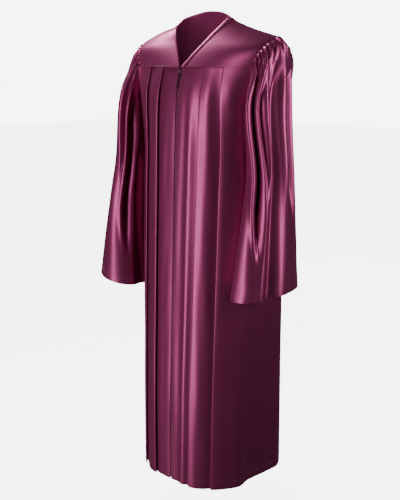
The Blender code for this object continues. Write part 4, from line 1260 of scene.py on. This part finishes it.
    def grid(self) -> tuple[np.ndarray, np.ndarray]:
        """Points and ways out of the sleeve, for the wearer's left."""
        spots, ways, holes = self.seam()
        turns = self.turns()
        start = spots + holes * (SEAM_GAP + self.thickness / 2 + 0.0004)
        sideways = ((1 + np.cos(np.radians(turns))) / 2)[:, None]
        lead_way = unit(holes * sideways + ways * (1 - sideways))
        lead = start + lead_way * self.lead
        stops = np.linspace(0.0, 1.0, self.rows) ** 1.45
        rows = [start, start + lead_way * self.lead * 0.5, lead]
        shares = [0.0, 0.004, 0.008]
        inner = (1 - np.cos(np.radians(turns))) / 2
        cap = self.cap_share + self.underarm_share * inner
        low = self.cuff - self.cuff_drop * (1 - np.cos(np.radians(turns - self.highest_turn))) / 2
        for stop in stops[1:]:
            height = lead[:, 2] + (low - lead[:, 2]) * stop
            lower = self.section_point(turns, height)
            reach = 1.0 - np.minimum(stop / cap, 1.0)
            blend = np.sqrt(1.0 - reach * reach)[:, None]
            mixed = lead + (lower - lead) * blend
            mixed[:, 2] = height
            rows.append(mixed)
            shares.append(0.008 + 0.992 * stop)
        points = np.array(rows)
        normals = self.outward(points)
        for row, share in enumerate(shares):
            lift = self.fold_lift(turns, share) + self.gather_lift(share)
            lift += 0.0008 * ease(share / 0.1) * smooth_noise(
                turns / 40.0, np.full_like(turns, share * 1.8), self.seed)
            points[row] += normals[row] * lift[:, None]
            if share > 0.03:
                points[row] = self.clear_of_body(points[row])
        return points, self.outward(points)

    def outward(self, points: np.ndarray) -> np.ndarray:
        """Normals turned away from the sleeve's own middle."""
        normals = grid_normals(points, ring=True)
        centres = np.mean(points, axis=1, keepdims=True)
        return -normals if np.sum((points - centres) * normals) < 0 else normals

    def build(self) -> list[np.ndarray]:
        points, normals = self.grid()
        name = "sleeve_" + self.side.word
        piece = self.shop.wall("cloth_" + name, mirrored(points, self.side),
                               mirrored(normals, self.side), self.thickness, self.shop.satin,
                               ring=True)
        self.shop.cloth(piece, (name,), self.flat, Held.GATHERED, self.flat_area)
        outside = points + normals * 0.0006
        fall = np.linalg.norm(np.diff(outside[-12:], axis=0), axis=2)
        below = np.cumsum(fall[::-1], axis=0)
        row = int(np.argmax(np.mean(below, axis=1) > self.hem_line))
        line = outside[-2 - row]
        return [mirrored(np.concatenate([line, line[:1]]), self.side)]


SLEEVE_HEAD_LEVELS = (
    SleeveLevel(-0.060, 0.229, 0.018, 0.030, 0.058),
    SleeveLevel(-0.130, 0.225, 0.012, 0.029, 0.070),
    SleeveLevel(-0.200, 0.228, -0.002, 0.031, 0.081),
    SleeveLevel(-0.410, 0.246, -0.013, 0.037, 0.080),
)
LEFT_LEVELS = SLEEVE_HEAD_LEVELS + (
    SleeveLevel(-0.490, 0.250, -0.020, 0.039, 0.092),
    SleeveLevel(-0.700, 0.263, -0.048, 0.059, 0.113),
)
RIGHT_LEVELS = SLEEVE_HEAD_LEVELS + (
    SleeveLevel(-0.500, 0.254, -0.018, 0.042, 0.090),
    SleeveLevel(-0.750, 0.298, 0.010, 0.078, 0.110),
)
BACK_FOLDS = (
    Fold(-34.0, -30.0, 0.03, 0.78, 0.0120, 11.0, 0.30),
    Fold(-73.0, -66.0, 0.02, 0.92, 0.0120, 11.0, 0.30),
    Fold(-107.0, -112.0, 0.24, 0.85, 0.0080, 10.0, 0.20),
)
LEFT_FOLDS = BACK_FOLDS + (
    Fold(72.0, 40.0, 0.02, 0.89, 0.0230, 9.0, 0.30),
    Fold(47.0, 25.0, 0.12, 0.70, 0.0130, 7.0, 0.25),
    Fold(53.0, 50.0, 0.01, 0.21, 0.0070, 5.0, 0.30),
    Fold(28.0, 27.0, 0.00, 0.28, 0.0070, 6.0, 0.30),
    Fold(4.0, 22.0, 0.06, 1.00, 0.0170, 10.0, 0.32),
    Fold(150.0, 140.0, 0.30, 1.00, 0.0060, 13.0, 0.20),
)
RIGHT_FOLDS = BACK_FOLDS + (
    Fold(134.0, 141.0, 0.03, 0.90, 0.0170, 8.5, 0.30),
    Fold(103.0, 108.0, 0.02, 0.55, 0.0120, 8.0, 0.30),
    Fold(74.0, 70.0, 0.02, 0.35, 0.0080, 7.0, 0.30),
    Fold(160.0, 164.0, 0.20, 1.00, 0.0090, 9.0, 0.20),
    Fold(40.0, 36.0, 0.04, 0.80, 0.0100, 10.0, 0.30),
    Fold(6.0, 12.0, 0.03, 0.94, 0.0120, 11.0, 0.30),
)


class GeometryTree:
    """Builds a Geometry Nodes tree that repeats one small shape along lines."""

    def __init__(self, name: str, inputs: dict[str, float], material: bpy.types.Material) -> None:
        """Starts a tree with a geometry input and named sizes.

        Args:
            name: The tree's name.
            inputs: The sizes that a piece sets, with their usual values.
            material: The finish of what it makes.
        """
        self.tree = bpy.data.node_groups.new(name, "GeometryNodeTree")
        interface = self.tree.interface
        interface.new_socket("Lines", in_out="INPUT", socket_type="NodeSocketGeometry")
        self.ids = {}
        for label, value in inputs.items():
            made = interface.new_socket(label, in_out="INPUT", socket_type="NodeSocketFloat")
            made.default_value = value
            self.ids[label] = made.identifier
        interface.new_socket("Result", in_out="OUTPUT", socket_type="NodeSocketGeometry")
        self.source = self.tree.nodes.new("NodeGroupInput")
        self.material = material

    def node(self, kind: str, settings: dict, links: dict) -> bpy.types.Node:
        """Adds a node with its settings, values and links."""
        made = self.tree.nodes.new(kind)
        for name, value in settings.items():
            setattr(made, name, value)
        for name, value in links.items():
            if isinstance(value, bpy.types.NodeSocket):
                self.tree.links.new(value, made.inputs[name])
            else:
                made.inputs[name].default_value = value
        return made

    def close(self, geometry: bpy.types.NodeSocket) -> None:
        """Ends the tree in real mesh with its finish."""
        real = self.node("GeometryNodeRealizeInstances", {}, {"Geometry": geometry})
        dressed = self.node("GeometryNodeSetMaterial", {}, {
            "Geometry": real.outputs[0], "Material": self.material})
        end = self.tree.nodes.new("NodeGroupOutput")
        self.tree.links.new(dressed.outputs[0], end.inputs[0])

    def repeat_on(self, name: str, lines: list[np.ndarray],
                  sizes: dict[str, float]) -> bpy.types.Object:
        """Runs the tree on lines of points and hands back a plain mesh.

        Args:
            name: The new piece's name.
            lines: The lines that it follows.
            sizes: The sizes for this piece.
        """
        points, edges = [], []
        for line in lines:
            first = len(points)
            points += [tuple(point) for point in line]
            edges += [(first + k, first + k + 1) for k in range(len(line) - 1)]
        mesh = bpy.data.meshes.new(name + "_lines")
        mesh.from_pydata(points, edges, [])
        made = bpy.data.objects.new(name + "_lines", mesh)
        bpy.context.scene.collection.objects.link(made)
        change = made.modifiers.new("repeat", "NODES")
        change.node_group = self.tree
        for label, value in sizes.items():
            change[self.ids[label]] = value
        graph = bpy.context.evaluated_depsgraph_get()
        result = bpy.data.meshes.new_from_object(made.evaluated_get(graph))
        made.modifiers.remove(change)
        bpy.data.objects.remove(made, do_unlink=True)
        result.name = name
        if not result.materials:
            result.materials.append(self.material)
        piece = bpy.data.objects.new(name, result)
        bpy.context.scene.collection.objects.link(piece)
        return piece


@dataclass
class Stitching:
    """Every line of stitches that shows."""

    shop: Shop
    pitch: float = 0.0032
    length: float = 0.0024
    radius: float = 0.00024

    def tree(self) -> GeometryTree:
        """A short rounded stitch laid along a line at even steps."""
        build = GeometryTree("stitch_line", {"Pitch": self.pitch, "Length": self.length,
                                             "Radius": self.radius}, self.shop.thread)
        source = build.source.outputs
        curve = build.node("GeometryNodeMeshToCurve", {}, {"Mesh": source["Lines"]})
        spaced = build.node("GeometryNodeResampleCurve", {"mode": "LENGTH"}, {
            "Curve": curve.outputs[0], "Length": source["Pitch"]})
        tangent = build.node("GeometryNodeInputTangent", {}, {})
        turn = build.node("FunctionNodeAlignEulerToVector", {"axis": "Z"}, {
            "Vector": tangent.outputs[0]})
        bar = build.node("GeometryNodeMeshCone", {"fill_type": "TRIANGLE_FAN"}, {
            "Vertices": 5, "Side Segments": 1, "Radius Top": source["Radius"],
            "Radius Bottom": source["Radius"], "Depth": source["Length"]})
        centre = build.node("ShaderNodeMath", {"operation": "MULTIPLY"}, {
            0: source["Length"], 1: -0.5})
        offset = build.node("ShaderNodeCombineXYZ", {}, {"Z": centre.outputs[0]})
        middle = build.node("GeometryNodeTransform", {}, {
            "Geometry": bar.outputs[0], "Translation": offset.outputs[0]})
        placed = build.node("GeometryNodeInstanceOnPoints", {}, {
            "Points": spaced.outputs[0], "Instance": middle.outputs[0],
            "Rotation": turn.outputs[0]})
        build.close(placed.outputs[0])
        return build

    def build(self, lines: list[np.ndarray]) -> None:
        """Builds the stitches on all the lines."""
        piece = self.tree().repeat_on("stitches", lines, {
            "Pitch": self.pitch, "Length": self.length, "Radius": self.radius})
        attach(piece, Body.GOWN.value)
        LOG.info("stitches: %d faces on %d lines", len(piece.data.polygons), len(lines))


@dataclass
class ZipClosure:
    """The front zip: tape, coil teeth, slider and pull tab."""

    shop: Shop
    half_width: float = 0.013
    top: float = -0.136
    low: float = -1.297
    setback: float = 0.0017
    thickness: float = 0.0009
    teeth_top: float = -0.1495
    teeth_low: float = -1.279
    tooth_pitch: float = 0.0018
    tooth_length: float = 0.0034
    tooth_radius: float = 0.00042
    tooth_lift: float = 0.00075

    def centre(self, height: float, lift: float) -> np.ndarray:
        """A point on the centre front, lifted off the middle of the panels."""
        section = Section(height)
        spot = section.place(0.0, lift - PRESSED_RISE * pressed(height))
        return np.array([0.0, spot[1], height])

    def tooth_tree(self) -> GeometryTree:
        """A round tooth laid across the line at even steps."""
        build = GeometryTree("zip_teeth", {"Pitch": self.tooth_pitch,
                                           "Length": self.tooth_length,
                                           "Radius": self.tooth_radius}, self.shop.teeth)
        source = build.source.outputs
        curve = build.node("GeometryNodeMeshToCurve", {}, {"Mesh": source["Lines"]})
        spaced = build.node("GeometryNodeResampleCurve", {"mode": "LENGTH"}, {
            "Curve": curve.outputs[0], "Length": source["Pitch"]})
        bar = build.node("GeometryNodeMeshCone", {"fill_type": "TRIANGLE_FAN"}, {
            "Vertices": 8, "Side Segments": 1, "Radius Top": source["Radius"],
            "Radius Bottom": source["Radius"], "Depth": source["Length"]})
        centre = build.node("ShaderNodeMath", {"operation": "MULTIPLY"}, {
            0: source["Length"], 1: -0.5})
        offset = build.node("ShaderNodeCombineXYZ", {}, {"Z": centre.outputs[0]})
        middle = build.node("GeometryNodeTransform", {}, {
            "Geometry": bar.outputs[0], "Translation": offset.outputs[0]})
        placed = build.node("GeometryNodeInstanceOnPoints", {}, {
            "Points": spaced.outputs[0], "Instance": middle.outputs[0],
            "Rotation": (0.0, math.pi / 2, 0.0)})
        build.close(placed.outputs[0])
        return build

    def build(self) -> None:
        middles, reaches = [], []
        for height in np.linspace(self.top, self.low, 80):
            middle = self.centre(height, -self.setback)
            xs = np.linspace(-self.half_width, self.half_width, 9)
            middles.append([middle + np.array([x, 0.0, 0.0]) for x in xs])
            reaches.append([(0.0, -1.0, 0.0)] * len(xs))
        tape = self.shop.wall("cloth_zip_tape", np.array(middles), np.array(reaches),
                              self.thickness, self.shop.tape)
        self.shop.cloth(tape, ("zip_tape",), (0.026, 1.165), Held.HUNG, 0.0302, "zip_tape")
        line = np.array([self.centre(height, self.tooth_lift - self.setback)
                         for height in np.linspace(self.teeth_top, self.teeth_low, 200)])
        teeth = self.tooth_tree().repeat_on("zip_teeth", [line], {
            "Pitch": self.tooth_pitch, "Length": self.tooth_length,
            "Radius": self.tooth_radius})
        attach(teeth, Body.GOWN.value)
        LOG.info("zip_teeth: %d faces", len(teeth.data.polygons))
        # The pull tab takes the darker lacquer copy, which is painted shade.
        for node, material in (("zip_slider", self.shop.metal),
                               ("zip_pull_tab", self.shop.tab_shaded_metal)):
            kept = frame["nodes"][node]
            kept.data.materials.clear()
            kept.data.materials.append(material)
            LOG.info("%s: kept from the model", node)


class Lamp(NamedTuple):
    """One soft studio lamp, aimed at the gown, with the angle it spreads over."""

    name: str
    place: tuple[float, float, float]
    aim: tuple[float, float, float]
    width: float
    height: float
    power: float
    spread: float = 180.0


@dataclass
class Studio:
    """The floor, the lamps and the camera."""

    floor_height: float = -1.42
    camera_place: tuple = (1.4914, -1.6667, -0.13)
    camera_tilt: float = 77.15
    camera_turn: float = 42.0
    lens: float = 57.74
    ambient: float = 0.07
    lamps: tuple[Lamp, ...] = (
        Lamp("key_upper", (-0.15, -2.85, 0.35), (0.0, 0.0, -0.30), 0.60, 1.5, 34.0),
        Lamp("key_lower", (-0.80, -2.70, -1.15), (0.0, 0.0, -0.90), 0.70, 2.0, 46.0),
        Lamp("left_high", (-2.20, 0.20, 2.00), (-0.15, 0.0, -0.1), 0.8, 0.8, 17.0, 70.0),
        Lamp("right_edge", (2.7, 0.75, 0.35), (0.25, 0.0, -0.3), 0.60, 1.0, 9.0, 80.0),
        Lamp("neck_fill", (0.03, -0.01, -0.22), (0.0, 0.09, -0.02), 0.06, 0.06, 0.26, 130.0),
        Lamp("back_soft", (-0.9, 3.0, 0.1), (0.0, 0.0, -0.6), 1.0, 2.4, 22.0),
    )

    def build(self) -> None:
        """Sets up the studio."""
        mesh = bpy.data.meshes.new("studio_floor")
        half = 14.0
        mesh.from_pydata([(-half, -half, self.floor_height), (half, -half, self.floor_height),
                          (half, half, self.floor_height), (-half, half, self.floor_height)],
                         [], [(0, 1, 2, 3)])
        mesh.materials.append(FloorFinish().material())
        floor = bpy.data.objects.new("studio_floor", mesh)
        floor.visible_diffuse = False
        floor.visible_glossy = False
        floor.visible_shadow = False
        bpy.context.scene.collection.objects.link(floor)
        for lamp in self.lamps:
            self.light(lamp)
        self.world()
        camera = bpy.data.cameras.new("camera")
        camera.lens = self.lens
        camera.sensor_width = 36.0
        camera.clip_end = 60.0
        seen = bpy.data.objects.new("camera", camera)
        seen.location = self.camera_place
        seen.rotation_euler = (math.radians(self.camera_tilt), 0.0,
                               math.radians(self.camera_turn))
        bpy.context.scene.collection.objects.link(seen)
        bpy.context.scene.camera = seen

    def light(self, lamp: Lamp) -> None:
        """Adds one area lamp."""
        data = bpy.data.lights.new(lamp.name, "AREA")
        data.shape = "RECTANGLE"
        data.size = lamp.width
        data.size_y = lamp.height
        data.energy = lamp.power
        data.spread = math.radians(lamp.spread)
        made = bpy.data.objects.new(lamp.name, data)
        made.location = lamp.place
        made.visible_camera = False
        way = Vector(lamp.aim) - Vector(lamp.place)
        made.rotation_euler = way.to_track_quat("-Z", "Y").to_euler()
        bpy.context.scene.collection.objects.link(made)

    def world(self) -> None:
        """A white surround that lights the gown only softly."""
        world = bpy.data.worlds.new("surround")
        world.use_nodes = True
        tree = world.node_tree
        back = tree.nodes["Background"]
        back.inputs["Color"].default_value = (1.0, 1.0, 1.0, 1.0)
        seen = tree.nodes.new("ShaderNodeLightPath")
        strength = tree.nodes.new("ShaderNodeMapRange")
        strength.inputs["To Min"].default_value = self.ambient
        strength.inputs["To Max"].default_value = 7.0
        tree.links.new(seen.outputs["Is Camera Ray"], strength.inputs["Value"])
        tree.links.new(strength.outputs["Result"], back.inputs["Strength"])
        bpy.context.scene.world = world


def main() -> None:
    """Builds the gown's pieces in order and sets up the studio."""
    logging.basicConfig(level=logging.INFO, format="%(message)s")
    shop = Shop()
    lines = PleatedPanels(shop).build()
    yokes = YokeAndNeck(shop)
    lines += yokes.build()
    for side, cuff, drop, levels, folds, seed, flat, area in (
            (Wearer.LEFT, -0.701, 0.014, LEFT_LEVELS, LEFT_FOLDS, 1, (0.57, 0.66), 0.31),
            (Wearer.RIGHT, -0.732, 0.042, RIGHT_LEVELS, RIGHT_FOLDS, 2, (0.61, 0.72), 0.33)):
        lines += Sleeve(shop, side, cuff, drop, levels, folds, yokes.fronts[side],
                        yokes.backs[side], seed, flat, area).build()
    Stitching(shop).build(lines)
    ZipClosure(shop).build()
    Studio().build()


if __name__ == "__main__":
    main()
